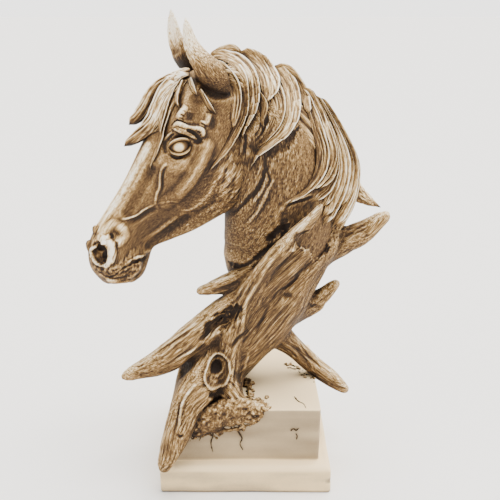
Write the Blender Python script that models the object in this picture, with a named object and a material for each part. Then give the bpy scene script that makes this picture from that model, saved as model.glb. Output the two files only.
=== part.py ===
"""Horse head sculpture in cast resin, rising out of driftwood on a stepped plinth.

The sculpture is two castings: the horse's head and neck with the driftwood, and the plinth that
they stand on. The plinth is drawn from its own sizes. The figure is drawn in figure units, of
which its height has FIGURE_UNITS, and it is scaled to FIGURE_HEIGHT and stood on the plinth.
"""

import math

import bmesh
import bpy
import numpy as np
from mathutils import Vector

MM = 0.001

# Plinth
BASE_WIDTH = 150 * MM
BASE_DEPTH = 140 * MM
BASE_HEIGHT = 26 * MM
BASE_LIP = 5 * MM
BLOCK_WIDTH = 130 * MM
BLOCK_DEPTH = 120 * MM
BLOCK_HEIGHT = 52 * MM
BLOCK_CORNER = 2.5 * MM
EDGE_SOFTNESS = 1.2 * MM
COVE = 1.5 * MM

# Figure
FIGURE_HEIGHT = 322 * MM
SEAT_GAP = 0.3 * MM
FACE_BUDGET = 9000
VOXEL_UNITS = 1.7

# Figure units: the drawing of the figure, with the plinth's top at FOOT and the ear tips at CROWN
FOOT = 78.0
CROWN = 400.0
FIGURE_UNITS = CROWN - FOOT
DRAWN_EDGE = (65.0, 60.0)
HANG_START = 30.0

PLINTH_TOP = BASE_HEIGHT + BLOCK_HEIGHT
UNIT = FIGURE_HEIGHT / FIGURE_UNITS

# Rows of x, y, z, half width, half thickness
WOOD = {
    "trunk": [(80, 5, 224, 9, 12), (65, 4, 208, 18, 19), (43, 0, 184, 24.5, 25), (19, -4, 153, 32, 27),
              (-5, -10, 120, 30, 25), (-22, -24, 94, 25, 21), (-29, -34, 76, 23, 19)],
    "inner_root": [(-18, -20, 100, 22, 15), (-12, -34, 84, 19, 13), (-8, -46, 74, 19, 11)],
    "back_root": [(-4, -2, 120, 20, 16), (-12, 16, 98, 15, 12), (-18, 32, 83, 14, 9), (-22, 45, 74, 9, 6)],
    "left_branch": [(64, -8, 221, 7, 7), (40, -20, 204, 13, 9), (14, -24, 178, 14, 10),
                    (-14, -22, 152, 16, 12),
                    (-40, -30, 135, 14.5, 11), (-69, -42, 118, 12, 9), (-105, -52, 105, 3.5, 3)],
    "left_stub": [(12, -20, 190, 11, 9), (-6, -19, 182, 10, 9), (-26, -24, 177, 7, 6),
                  (-42, -28, 174, 3, 3)],
    "spike": [(60, -37, 251, 3.5, 3.5), (45, -36, 230, 6, 5), (21, -34, 204, 7.5, 6), (6, -32, 182, 9, 7),
              (-5, -29, 158, 10, 8), (-10, -31, 134, 10, 9), (-10, -37, 110, 11, 9), (-6, -44, 88, 12, 8)],
    "right_branch": [(54, 4, 190, 13, 13), (85, 8, 207.5, 12.5, 10), (106, 10, 218, 9, 7),
                     (126, 12, 232, 3, 3)],
    "right_stub": [(-14, -26, 104, 10, 9), (2, -20, 120, 12, 11), (24, -12, 138, 13, 13),
                   (45, -2, 147, 11, 11),
                   (66, 3, 155, 8, 7), (84, 5, 170, 3, 3)],
    "low_stub": [(38, -2, 137, 9, 9), (54, -1, 142, 6, 5), (69, 0, 149, 3, 3)],
}
HANGING_WOOD = {
    "front_root": [(-12, -14, 122, 20, 18), (-33, -34, 98, 21, 17), (-45, -50, 84, 17.5, 15),
                   (-54, -62, 67, 13.5, 12), (-62, -69, 49, 11, 9), (-72, -78, 27, 5, 4.5)],
    "right_leg": [(18, -5, 134, 15, 13), (43, 0, 107, 10, 9), (58, 2, 91, 9, 8), (78, 0, 76, 8, 7),
                  (97, -3, 61, 4, 4)],
}
EARTH = [(-58, -56, 68, 10, 6), (-40, -56, 64, 19, 7.5), (-22, -56, 65, 17, 7.5), (0, -56, 70, 12, 7),
         (15, -56, 74, 6, 5)]
WOOD_WAVES = 5
WOOD_GROOVE = 1.1

# Carving on the wood: a path, its radius and its height
KNOT = ((-24, -47, 108), (10, 13), 14)
WOOD_MARKS = [
    ([(-24, -52, 109), (-24, -40, 110)], 8, -7),
    ([(-24, -42, 142), (-14, -38, 153), (-6, -38, 163)], 9, -6),
    ([(-31, -58, 74), (-19, -49, 88)], 8, -6),
    ([(4, -42, 88), (3, -34, 90)], 8, -6),
    ([(56, -18, 214), (64, -20, 208)], 9, -6),
]

NECK = [(-16, -5, 336, 22, 19), (4, -3, 316, 35, 25), (21, 0, 283, 42, 28), (29, 3, 243, 47, 30),
        (27, 4, 208, 47, 30), (21, 3, 174, 40, 27)]
CREST = [(-28, -5, 343, 16, 14), (-11, -4, 345.5, 19, 17), (12, -3, 333.5, 22, 18), (32, 0, 321, 22, 18),
         (53, 2, 301, 22, 18), (65, 4, 274, 22, 17), (69.5, 5, 245, 20, 16), (65, 5, 212, 14, 13)]
MANE_TIP = [(86, 5, 262, 10, 7), (99, 6, 250, 6.5, 5), (118, 8, 238.5, 1.6, 1.6)]

# Locks on the near side: places (x, z), then half width, half thickness and lift
CURLS = [
    ([(-27, 361), (-14, 362), (-4, 356), (2, 344), (2, 331), (-3, 317), (-11, 304), (-21, 293), (-32, 281)],
     7.0, 4.2, 1.5),
    ([(-26, 366), (-13, 367), (-1, 362), (7, 351), (9, 340), (6, 327), (-3, 308)], 3.4, 3.6, 2.6),
    ([(8, 343), (14, 336), (16, 327), (13, 320), (15, 313)], 2.6, 2.4, 1.5),
    ([(-27, 366), (-19, 372), (-12, 374), (-3, 371), (4, 362), (9, 350), (10, 338)], 6.0, 4.0, 1.0),
    ([(-6, 369), (6, 369), (16, 363), (22, 354), (23, 344), (19, 336), (11, 330)], 6.5, 4.2, 1.5),
    ([(24, 354), (32, 348), (38, 338), (39, 325), (34, 313), (25, 304), (15, 298), (8, 291), (3, 281)],
     5.5, 3.8, 1.5),
    ([(24, 358), (33, 357), (41, 351), (46, 343), (48, 334), (48, 324)], 5.5, 4.0, 1.0),
]
GUIDES = [
    [(45, 347), (52, 330), (58, 315), (61, 303), (66, 292), (66, 282), (61, 272), (54, 263), (45, 257),
     (32, 252)],
    [(50, 343), (61, 327), (65, 314), (69, 302), (73, 291), (73, 280), (69, 268), (61, 258), (53, 251),
     (46, 246)],
    [(58, 336), (70, 320), (76, 307), (80, 295), (80, 282), (76, 268), (70, 254), (63, 243), (57, 234),
     (53, 226)],
    [(66, 328), (78, 309), (85, 294), (88, 280), (87, 265), (82, 250), (75, 237), (68, 226), (64, 217),
     (63, 208)],
    [(72, 320), (84, 300), (92, 284), (94, 267), (92, 251), (86, 238), (78, 226), (73, 217), (71, 208),
     (73, 200)],
]
LOCKS_BETWEEN_GUIDES = 2
FIRST_FAR_CURL = 2

# The head in its own coordinates: along from the poll to the muzzle, up and out
POLL = (-25.0, -5.0, 352.0)
LEAN = math.radians(57.2)
TURN = math.radians(20.0)
RAILS = [
    [(-3, 2, 0), (6, 16, 0), (22, 24, 0), (42, 26, 0), (64, 23.5, 0), (86, 21.5, 0), (108, 20, 0),
     (128, 20.5, 0), (146, 21.5, 0), (161, 21.5, 0), (174, 17.5, 0), (185, 9, 0), (191, -4, 0),
     (191.5, -10, 0)],
    [(-3, 1, 5), (6, 12, 13), (22, 20, 17), (42, 20.5, 20), (64, 17.5, 16), (86, 17.5, 11.5),
     (108, 16.5, 10),
     (128, 17, 9.5), (146, 18, 9.5), (160, 18.5, 10), (173, 14, 10.5), (184, 6, 8.5), (189.5, -5, 5),
     (190.5, -10.5, 2)],
    [(-3, -4, 9), (6, 2, 20), (22, 12, 25), (43, 11.5, 31), (65, 7.5, 27), (87, 8, 19), (108, 8.5, 15.5),
     (128, 9.5, 13.5), (146, 11, 13.5), (159, 11, 15.5), (171, 6, 16.5), (181.5, -1, 13.5), (187.5, -9, 8),
     (189.5, -11.5, 3)],
    [(-2, -14, 10), (7, -14, 23), (23, -4, 27), (44, -5, 31.5), (66, -7, 30), (88, -6, 25.5), (109, -3, 20),
     (128, 0, 16), (145, 1, 16), (158, 0, 17.5), (169, -4, 17), (179, -9.5, 13.5), (185, -13.5, 8),
     (188, -13.5, 3)],
    [(-1, -24, 9), (9, -30, 22), (25, -26, 27), (47, -29, 30), (69, -30, 29), (91, -25, 24.5),
     (111, -18, 18.5),
     (129, -12, 14), (144, -9, 13.5), (157, -10, 14), (168, -14, 14.5), (177, -17.5, 11.5),
     (182.5, -18.5, 7.5),
     (187, -15, 2.5)],
    [(0, -32, 7), (12, -45, 17), (28, -52, 21), (51, -57, 24), (74, -55, 23.5), (95, -44, 19.5),
     (113, -35, 15),
     (130, -26.5, 12), (144, -19, 10.5), (157, -21, 11.5), (168, -24.5, 11.5), (176, -25, 9.5),
     (181, -23, 6.5),
     (186, -16.5, 2)],
    [(0, -37, 4), (13, -55, 9), (31, -68, 12), (55, -74, 14), (79, -69, 15), (99, -58, 14), (117, -47, 12),
     (132, -35.5, 9.5), (145.5, -25.5, 8), (157, -28.5, 8), (168, -31.5, 8), (176, -30.5, 6.5),
     (181, -26, 4.5),
     (185.5, -17.5, 1.5)],
    [(0, -38, 0), (13, -57, 0), (31, -70, 0), (55, -76, 0), (79, -71, 0), (99, -59, 0), (117, -48, 0),
     (132, -37, 0), (145.5, -28, 0), (156, -30, 0), (168, -32.5, 0), (176, -31.5, 0), (182, -27, 0),
     (185.5, -18.5, 0)],
]

# Modelling on the head: places (along, up), radius and height
HEAD_MARKS = [
    ([(37, 17), (33, 9)], 12, -3.2),
    ([(72, 15), (62, 18), (52, 13), (46, 3), (49, -6)], 8, 3.4),
    ([(62, 3), (60, 2)], 12, -4.5),
    ([(66, -8), (84, -6), (104, -5)], 9, 2.2),
    ([(58, -18), (78, -17), (98, -14)], 5, 1.6),
    ([(107, -24), (98, -34), (89, -38)], 5, 1.4),
    ([(112, -18), (126, -13), (138, -10)], 10, -1.8),
    ([(94, 8), (112, 5), (132, 5)], 8, -1.6),
    ([(164, 12), (163, 12)], 17, 3.6),
    ([(157, -21), (165, -15), (179, -15)], 7, 1.6),
    ([(153, -25), (160, -17), (170, -15.5), (182, -13)], 3.6, -3.0),
    ([(168, 13), (167, 11)], 8.5, -9.0),
]
EYE_PLACE = (62.0, 4.0)
EYE_RADIUS = 9.6
EYE_PROUD = 5.0
LIDS = [((73, 10), (63, 10), (54, 6), (54, -6)), ((73, 9), (69, 1), (61, -5), (54, -7))]
BROW = [(72, 16), (63, 19), (54, 17), (47, 9), (46, -1), (50, -8)]

EARS = {
    "near": [(9, 18, -4, 15, 9), (6, 20, 8, 14.5, 10), (1, 22, 20, 11.5, 8), (-5, 24, 29, 9.2, 5.5),
             (-9.5, 25, 37, 7.5, 4), (-15, 25, 43, 5.4, 3.2), (-21, 24, 49, 1.4, 1.4)],
    "far": [(9, -18, -4, 15, 9), (9, -20, 9, 14, 10), (6, -22, 20, 12, 8.5), (-1, -24, 30, 10.5, 6),
            (-9, -24, 38.5, 8.5, 4.5), (-17.5, -24, 44.5, 5.8, 3.4), (-27, -24, 50, 1.4, 1.4)],
}
FORELOCK = [
    [(6, 4, 18, 4, 3), (20, 5, 29, 6, 4), (34, 6, 34, 6, 4), (47, 6, 37, 5, 3), (59, 6, 39, 3.4, 2.4),
     (71, 6, 43, 1, 1)],
    [(6, 8, 18, 4, 3), (25, 9, 29, 7, 4), (39, 10, 31, 6.5, 4), (52, 10, 32, 5, 3), (65, 10, 32, 3.6, 2.6),
     (77, 9, 34, 2.2, 1.8), (87, 9, 38, 1, 1)],
    [(8, 12, 20, 4, 3), (26, 14, 28, 6, 4), (40, 15, 27, 6, 4), (55, 16, 23, 5, 3), (68, 17, 18, 3, 2),
     (80, 17, 14, 1, 1)],
    [(8, 16, 18, 4, 3), (24, 19, 26, 4, 3), (40, 21, 24, 4, 3), (53, 22, 20, 3.5, 2.5),
     (68, 21, 15, 2.5, 1.8),
     (87, 18, 13, 1, 1)],
    [(6, 0, 18, 5, 3), (22, 0, 27, 7, 4), (40, 1, 31, 7, 4), (56, 2, 30, 5, 3), (70, 3, 27, 3, 2),
     (84, 3, 23, 1, 1)],
    [(6, -8, 18, 4, 3), (24, -10, 26, 7, 4), (40, -12, 28, 6, 4), (56, -13, 24, 4, 3), (74, -12, 19, 1, 1)],
    [(8, -16, 18, 4, 3), (26, -18, 25, 4.5, 3), (42, -20, 22, 4, 3), (58, -21, 16, 1, 1)],
]


def unit(vectors):
    """Returns the vectors along the last axis at length one."""
    return vectors / np.maximum(np.linalg.norm(vectors, axis=-1, keepdims=True), 1e-9)


def smoothstep(low, high, value):
    """Returns 0 below low, 1 above high and a smooth blend between them."""
    t = np.clip((value - low) / (high - low), 0.0, 1.0)
    return t * t * (3.0 - 2.0 * t)


def curve_through(points, samples, closed=False):
    """Runs a Catmull-Rom curve through points and reads it at places from 0 to 1."""
    points = np.asarray(points, float)
    if closed:
        padded = np.concatenate([points[-1:], points, points[:2]])
        spans = len(points)
    else:
        padded = np.concatenate([2 * points[:1] - points[1:2], points, 2 * points[-1:] - points[-2:-1]])
        spans = len(points) - 1
    place = np.clip(np.asarray(samples, float), 0.0, 1.0) * spans
    start = np.minimum(place.astype(int), spans - 1)
    t = (place - start)[(...,) + (None,) * (points.ndim - 1)]
    a, b, c, d = (padded[start + k] for k in range(4))
    return 0.5 * (
        2 * b + (c - a) * t + (2 * a - 5 * b + 4 * c - d) * t**2 + (3 * b - a - 3 * c + d) * t**3
    )


def even_samples(points, count):
    """Returns places along the curve through points that are evenly spaced by length."""
    fine = np.linspace(0.0, 1.0, 200)
    track = curve_through(np.asarray(points, float)[:, :3], fine)
    run = np.concatenate([[0.0], np.cumsum(np.linalg.norm(np.diff(track, axis=0), axis=1))])
    return np.interp(np.linspace(0.0, run[-1], count), run, fine)


def swept(path, rows, cols, face=(0.0, -1.0, 0.0), squareness=2.0, blunt=(0.12, 0.12)):
    """Carries a flattened ring along rows of x, y, z, half width, half thickness.

    The width lies across the path and across face, and the ends round off over the blunt shares
    of the length. Returns the rings as rows x cols x 3.
    """
    path = np.asarray(path, float)
    samples = even_samples(path, rows)
    track = curve_through(path, samples)
    centre, half = track[:, :3], np.maximum(track[:, 3:5], 0.3)
    tangent = unit(np.gradient(centre, axis=0))
    face = np.asarray(face, float)
    look = curve_through(face, samples) if face.ndim == 2 else np.broadcast_to(face, centre.shape)
    look = unit(look - (look * tangent).sum(axis=1, keepdims=True) * tangent)
    across = np.cross(tangent, look)
    run = np.linspace(0.0, 1.0, rows)
    start = np.sqrt(1 - (1 - np.clip((run + 0.004) / blunt[0], 0, 1)) ** 2)
    end = np.sqrt(1 - (1 - np.clip((1.004 - run) / blunt[1], 0, 1)) ** 2)
    half = half * np.minimum(start, end)[:, None]
    angle = np.linspace(0.0, 2 * np.pi, cols, endpoint=False)
    power = 2.0 / squareness
    x = np.sign(np.cos(angle)) * np.abs(np.cos(angle)) ** power
    y = np.sign(np.sin(angle)) * np.abs(np.sin(angle)) ** power
    return (
        centre[:, None]
        + across[:, None] * (half[:, :1] * x)[..., None]
        + look[:, None] * (half[:, 1:] * y)[..., None]
    )


def lofted(rails, rows, cols):
    """Lofts the head through rails down its near half, mirrored for its far half."""
    table = np.array(rails, float)
    near = np.stack([table[..., 0], table[..., 2], table[..., 1]], axis=-1)
    ring = np.concatenate([near, near[1:-1][::-1] * np.array([1.0, -1.0, 1.0])])
    samples = even_samples(ring.mean(axis=0), rows)
    tracks = np.stack([curve_through(rail, samples) for rail in ring])
    return curve_through(tracks, np.linspace(0.0, 1.0, cols, endpoint=False), closed=True).transpose(1, 0, 2)


def outward(rings):
    """Returns the normals of a grid of rings, pointing away from the rings' centres."""
    along = np.gradient(rings, axis=0)
    around = np.roll(rings, -1, axis=1) - np.roll(rings, 1, axis=1)
    normals = unit(np.cross(around, along))
    spread = rings - rings.mean(axis=1, keepdims=True)
    return normals if (normals * spread).sum() > 0 else -normals


def brushed(rings, path, radius, height):
    """Raises or sinks the rings by height * (1 - (distance / radius)^2)^2 along a path."""
    best = np.full(rings.shape[:2], np.inf)
    for a, b in zip(path[:-1], path[1:]):
        step = b - a
        t = np.clip(((rings - a) @ step) / max(float(step @ step), 1e-9), 0.0, 1.0)
        best = np.minimum(best, np.linalg.norm(rings - a - t[..., None] * step, axis=2))
    lift = height * np.clip(1.0 - (best / radius) ** 2, 0.0, 1.0) ** 2
    return rings + outward(rings) * lift[..., None]


def head_spots(rings, spots):
    """Finds the near skin's points at places (along, up) on the side of the head."""
    flat = rings.reshape(-1, 3)
    flat = flat[flat[:, 1] > 0.0]
    return np.array([flat[((flat[:, 0] - a) ** 2 + (flat[:, 2] - u) ** 2).argmin()] for a, u in spots])


def head_in_figure(points):
    """Leans and turns head coordinates (along, out, up) into the drawing of the figure."""
    ahead = points[..., 0] * math.cos(LEAN) + points[..., 2] * math.sin(LEAN)
    rise = points[..., 2] * math.cos(LEAN) - points[..., 0] * math.sin(LEAN)
    out = points[..., 1]
    x = POLL[0] - ahead * math.cos(TURN) + out * math.sin(TURN)
    y = POLL[1] - ahead * math.sin(TURN) - out * math.cos(TURN)
    return np.stack([x, y, POLL[2] + rise], axis=-1)


def ball(centre, radius, rows=14, cols=20):
    """Returns the rings of a ball."""
    tilt = np.linspace(0.02, math.pi - 0.02, rows)[:, None]
    turn = np.linspace(0.0, 2 * math.pi, cols, endpoint=False)[None, :]
    x, y, z = np.sin(tilt) * np.cos(turn), np.sin(tilt) * np.sin(turn), np.cos(tilt) + 0.0 * turn
    return np.asarray(centre) + radius * np.stack([x, y, z], axis=-1)


def head_forms():
    """Models the skull, eyes, brows, ears and forelock, and returns them in the figure's drawing."""
    skull = lofted(RAILS, 110, 80)
    for spots, radius, height in HEAD_MARKS:
        path = head_spots(skull, spots)
        for side in (1.0, -1.0):
            skull = brushed(skull, path * [1.0, side, 1.0], radius, height)
    forms = [skull]
    eye = head_spots(skull, [EYE_PLACE])[0]
    brow_sizes = np.array([[1.2, 1.2], [2.0, 2.2], [2.3, 2.5], [2.3, 2.5], [2.0, 2.2], [1.2, 1.2]])
    lid_sizes = np.array([[1.2, 1.2], [1.8, 1.8], [1.8, 1.8], [1.2, 1.2]])
    for side in (1.0, -1.0):
        mirror = np.array([1.0, side, 1.0])
        out = (0.0, side, 0.0)
        forms.append(ball((eye - [0.0, EYE_RADIUS - EYE_PROUD, 0.0]) * mirror, EYE_RADIUS))
        forms.append(swept(np.hstack([head_spots(skull, BROW) * mirror, brow_sizes]), 30, 12, out))
        for lid in LIDS:
            forms.append(swept(np.hstack([lid_line(skull, eye, lid) * mirror, lid_sizes]), 24, 10, out))
    for side, path in (("near", EARS["near"]), ("far", EARS["far"])):
        forms.append(hollow_ear(path, 1.0 if side == "near" else -1.0))
    for path in FORELOCK:
        look = unit(np.array(path, float)[:, :3] * [0.0, 1.0, 1.0] + [0.0, 0.0, 8.0])
        forms.append(swept(path, 30, 10, look))
    return [head_in_figure(form) for form in forms]


def lid_line(skull, eye, spots):
    """Returns a lid's line: its places lifted from the skull to the surface of the eyeball."""
    line = head_spots(skull, spots)
    across = np.hypot(line[:, 0] - eye[0], line[:, 2] - eye[2])
    rise = np.sqrt(np.clip(EYE_RADIUS**2 - across**2, 0.0, None))
    line[:, 1] = np.maximum(line[:, 1], eye[1] - EYE_RADIUS + EYE_PROUD + rise)
    return line


def hollow_ear(path, side):
    """Sweeps an ear and sinks its mouth, which looks forwards and out."""
    mouth = unit(np.array([0.5, 0.6 * side, 0.6]))
    ear = swept(path, 36, 20, mouth, blunt=(0.05, 0.06))
    spread = ear - ear.mean(axis=1, keepdims=True)
    run = np.linspace(0.0, 1.0, len(ear))[:, None]
    depth = spread @ mouth
    sink = 1.3 * smoothstep(0.22, 0.45, run) * smoothstep(1.0, 0.9, run) * (depth > 0)
    return ear - (sink * depth)[..., None] * mouth


class Bed:
    """The neck and crest that locks are laid on, seen square from the near side or the far side."""

    def __init__(self, forms):
        self.points = np.concatenate([form.reshape(-1, 3) for form in forms])
        self.axis = curve_through(np.array(NECK, float)[:, :3], np.linspace(0.0, 1.0, 60))

    def lock(self, spots, width, thick, lift, side=1.0):
        """Lays a lock through places (x, z): it swells over its first quarter and dies at its tip."""
        t = np.linspace(0.0, 1.0, 12)
        spots = curve_through(spots, t)
        widths = width * (0.35 + 0.65 * smoothstep(0.0, 0.3, t)) * (1 - t**2.4) ** 0.75 + 0.9
        rise = lift * np.sin(math.pi * np.linspace(0.12, 0.9, 12))
        depth = [self.depth(x, z, side) for x, z in spots]
        centre = np.stack([spots[:, 0], np.array(depth) - side * rise, spots[:, 1]], axis=1)
        gap = np.linalg.norm(centre[:, None] - self.axis[None], axis=2)
        look = unit(centre - self.axis[gap.argmin(axis=1)])
        sizes = np.stack([widths, np.minimum(widths, thick)], axis=1)
        return swept(np.hstack([centre, sizes]), 28, 10, look)

    def depth(self, x, z, side):
        """Returns the y of the outermost point near (x, z) on a side, 1 for near and -1 for far."""
        gap = np.hypot(self.points[:, 0] - x, self.points[:, 2] - z)
        near = gap < max(4.0, gap.min() + 2.0)
        return float(-side * (-side * self.points[near, 1]).max())


def neck_forms(head):
    """Sweeps the neck and the roll of its crest, and lays the mane on both sides of them."""
    neck = swept(NECK, 60, 50, squareness=2.25, blunt=(0.2, 0.1))
    crest = swept(CREST, 60, 36, squareness=2.1, blunt=(0.1, 0.15))
    bed = Bed([neck, crest, head])
    forms = [neck, crest, swept(MANE_TIP, 16, 12)]
    forms += [bed.lock(*curl) for curl in CURLS]
    forms += [bed.lock(*curl, side=-1.0) for curl in CURLS[FIRST_FAR_CURL:]]
    for side in (1.0, -1.0):
        for first, second in zip(GUIDES[:-1], GUIDES[1:]):
            for step in range(LOCKS_BETWEEN_GUIDES):
                share = step / LOCKS_BETWEEN_GUIDES
                spots = np.array(first) * (1 - share) + np.array(second) * share
                forms.append(bed.lock(spots, 5.0, 3.4, 2.0, side))
        forms.append(bed.lock(GUIDES[-1], 4.5, 3.4, 2.0, side))
    return forms


def limb(path, phase):
    """Sweeps one limb of wood, with flutes along it and the knot and hollows sunk where they reach."""
    rings = swept(path, 60, 40, squareness=2.4, blunt=(0.08, 0.06))
    run = np.linspace(0.0, 1.0, 60)[:, None]
    turn = np.linspace(0.0, 2 * math.pi, 40, endpoint=False)[None, :]
    flutes = np.sin(WOOD_WAVES * turn + phase + 5.0 * run) + 0.5 * np.sin(2 * WOOD_WAVES * turn - 2 * phase)
    girth = np.linalg.norm(rings - rings.mean(axis=1, keepdims=True), axis=2).mean(axis=1)[:, None]
    rings = rings + outward(rings) * (WOOD_GROOVE * flutes * smoothstep(3.0, 12.0, girth))[..., None]
    for spots, radius, height in WOOD_MARKS + [(knot_rim(), 4.0, 2.6)]:
        rings = brushed(rings, np.array(spots, float), radius, height)
    return rings


def knot_rim():
    """Returns the oval line round the knot, leaning as the grain does."""
    centre, radii, lean = KNOT
    turn = np.linspace(0.0, 2 * math.pi, 17)
    p, q = radii[0] * np.cos(turn), radii[1] * np.sin(turn)
    lean = math.radians(lean)
    x = p * math.cos(lean) + q * math.sin(lean)
    z = q * math.cos(lean) - p * math.sin(lean)
    return np.array(centre) + np.stack([x, 0.0 * x, z], axis=1)


def wood_forms():
    """Sweeps the trunk, branches and roots of the driftwood, in metres on the plinth."""
    forms = [placed(limb(path, phase)) for phase, path in enumerate(WOOD.values())]
    for phase, path in enumerate(HANGING_WOOD.values()):
        forms.append(hung(placed(limb(path, phase)), np.sign(path[-1][0])))
    forms.append(hung(placed(swept(EARTH, 30, 20)), -1.0))
    return forms


def placed(points):
    """Scales figure units to metres and stands the figure on the plinth's top."""
    return points * UNIT + np.array([0.0, 0.0, PLINTH_TOP - FOOT * UNIT])


def hung(points, side):
    """Moves the low end of a root with the edges of the block that it hangs over."""
    share = smoothstep(HANG_START * UNIT, 0.0, points[..., 2] - PLINTH_TOP)
    aside = side * (BLOCK_WIDTH / 2 - DRAWN_EDGE[0] * UNIT) * share
    front = -(BLOCK_DEPTH / 2 - DRAWN_EDGE[1] * UNIT) * share * (side < 0)
    return points + np.stack([aside, front, 0.0 * share], axis=-1)


def add_rings(mesh, rings):
    """Adds a closed body to a bmesh: rings bridged one to the next, with a face on each end."""
    loops = [[mesh.verts.new(Vector(point)) for point in ring] for ring in rings]
    count = len(loops[0])
    faces = [mesh.faces.new(loops[0]), mesh.faces.new(reversed(loops[-1]))]
    for low, high in zip(loops[:-1], loops[1:]):
        for k in range(count):
            after = (k + 1) % count
            faces.append(mesh.faces.new((low[k], high[k], high[after], low[after])))
    bmesh.ops.recalc_face_normals(mesh, faces=faces)


def mesh_object(name, forms, finish):
    """Makes an object from closed bodies given as rings."""
    mesh = bmesh.new()
    for rings in forms:
        add_rings(mesh, rings)
    data = bpy.data.meshes.new(name)
    mesh.to_mesh(data)
    mesh.free()
    piece = bpy.data.objects.new(name, data)
    bpy.context.scene.collection.objects.link(piece)
    data.materials.append(finish)
    return piece


def resin(name, colour, roughness):
    """Returns a painted cast resin: a plain Principled surface that isn't metallic."""
    finish = bpy.data.materials.new(name)
    finish.use_nodes = True
    shader = finish.node_tree.nodes["Principled BSDF"]
    shader.inputs["Base Color"].default_value = (*colour, 1.0)
    shader.inputs["Roughness"].default_value = roughness
    shader.inputs["Metallic"].default_value = 0.0
    return finish


def rounded_box(levels, radius, corner_steps=3):
    """Stacks rounded rectangles: rows of z, half x, half y, with upright corners of one radius."""
    rings = []
    for z, half_x, half_y in levels:
        ring = []
        for quarter, (sign_x, sign_y) in enumerate(((1, 1), (-1, 1), (-1, -1), (1, -1))):
            for step in range(corner_steps + 1):
                turn = (quarter + step / corner_steps) * math.pi / 2
                ring.append((sign_x * (half_x - radius) + radius * math.cos(turn),
                             sign_y * (half_y - radius) + radius * math.sin(turn), z))
        rings.append(ring)
    return rings


def plinth_levels(grow=0.0):
    """Returns the plinth's outline from its underside to its top as z, half x, half y.

    The base has a soft foot and a lip that rolls in to a cove under the block. Grow moves the
    whole outline outwards, for the space that the figure keeps clear of it.
    """
    base_x, base_y = BASE_WIDTH / 2, BASE_DEPTH / 2
    block_x, block_y = BLOCK_WIDTH / 2, BLOCK_DEPTH / 2
    soft = EDGE_SOFTNESS
    lip = BASE_HEIGHT - BASE_LIP
    levels = [(0.0, base_x - soft, base_y - soft), (soft, base_x, base_y), (lip, base_x, base_y)]
    for step in (1, 2, 3):
        turn = step / 3 * math.pi / 2
        inset = BASE_LIP * (1 - math.cos(turn))
        levels.append((lip + BASE_LIP * math.sin(turn), base_x - inset, base_y - inset))
    levels += [
        (BASE_HEIGHT, block_x + COVE, block_y + COVE),
        (BASE_HEIGHT + COVE, block_x, block_y),
        (PLINTH_TOP - soft, block_x, block_y),
        (PLINTH_TOP, block_x - soft, block_y - soft),
    ]
    return [(z + (grow if z == PLINTH_TOP else 0.0), x + grow, y + grow) for z, x, y in levels]


def settle(piece):
    """Replaces an object's mesh by what its modifiers make of it, and clears them."""
    view = bpy.context.evaluated_depsgraph_get()
    view.update()
    data = bpy.data.meshes.new_from_object(piece.evaluated_get(view))
    piece.modifiers.clear()
    piece.data = data


def fused(piece):
    """Joins the overlapping forms into one skin and thins it to the budget of faces."""
    remesh = piece.modifiers.new("fuse", "REMESH")
    remesh.mode = "VOXEL"
    remesh.voxel_size = VOXEL_UNITS * UNIT
    smooth = piece.modifiers.new("soften", "SMOOTH")
    smooth.factor = 0.4
    smooth.iterations = 1
    settle(piece)
    thin = piece.modifiers.new("thin", "DECIMATE")
    thin.ratio = FACE_BUDGET / (2.0 * len(piece.data.polygons))
    settle(piece)


def seat(piece, finish):
    """Cuts the space of the plinth, with its clearance, out of the figure."""
    cutter = mesh_object("plinth_space", [rounded_box(plinth_levels(SEAT_GAP), BLOCK_CORNER)], finish)
    cutter.hide_render = True
    cutter.display_type = "WIRE"
    cut = piece.modifiers.new("seat", "BOOLEAN")
    cut.operation = "DIFFERENCE"
    cut.object = cutter
    settle(piece)
    bpy.data.objects.remove(cutter)


def keep_largest(piece):
    """Deletes what the cuts left loose, and cleans the faces of the body that stays."""
    mesh = bmesh.new()
    mesh.from_mesh(piece.data)
    bmesh.ops.remove_doubles(mesh, verts=mesh.verts, dist=0.02 * MM)
    bmesh.ops.dissolve_degenerate(mesh, edges=mesh.edges, dist=0.02 * MM)
    bmesh.ops.triangulate(mesh, faces=mesh.faces)
    groups = []
    unseen = set(mesh.verts)
    while unseen:
        group = {unseen.pop()}
        edge = list(group)
        while edge:
            around = {e.other_vert(v) for v in edge for e in v.link_edges} - group
            group |= around
            edge = list(around)
        unseen -= group
        groups.append(group)
    largest = max(groups, key=len)
    bmesh.ops.delete(mesh, geom=[v for v in mesh.verts if v not in largest], context="VERTS")
    mesh.to_mesh(piece.data)
    mesh.free()


def make_plinth():
    """Builds the plinth: a base with a rolled lip and the block on it."""
    finish = resin("painted_plinth", (0.74, 0.69, 0.58), 0.55)
    return mesh_object("plinth", [rounded_box(plinth_levels(), BLOCK_CORNER)], finish)


def make_figure():
    """Builds the horse's head and neck with the driftwood, as one casting on the plinth."""
    finish = resin("antiqued_resin", (0.42, 0.27, 0.14), 0.6)
    head = head_forms()
    forms = [placed(form) for form in head + neck_forms(head[0])] + wood_forms()
    figure = mesh_object("horse_head_on_driftwood", forms, finish)
    fused(figure)
    seat(figure, finish)
    keep_largest(figure)
    figure.data.shade_smooth()
    figure.data.set_sharp_from_angle(angle=math.radians(60))
    return figure


def main():
    """Clears the scene and builds the two castings."""
    for piece in list(bpy.data.objects):
        bpy.data.objects.remove(piece)
    make_plinth()
    make_figure()


main()
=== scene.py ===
"""Horse head sculpture in cast resin, rising out of driftwood on a stepped plinth.

Every form is a surface of two parameters: `row` runs along it and `col` runs round it. Lengths in
the tables below are millimetres, and MM turns them to metres where a mesh is made.
"""

from __future__ import annotations

import logging
import math
from dataclasses import dataclass, field
from enum import Enum
from typing import Callable

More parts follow.
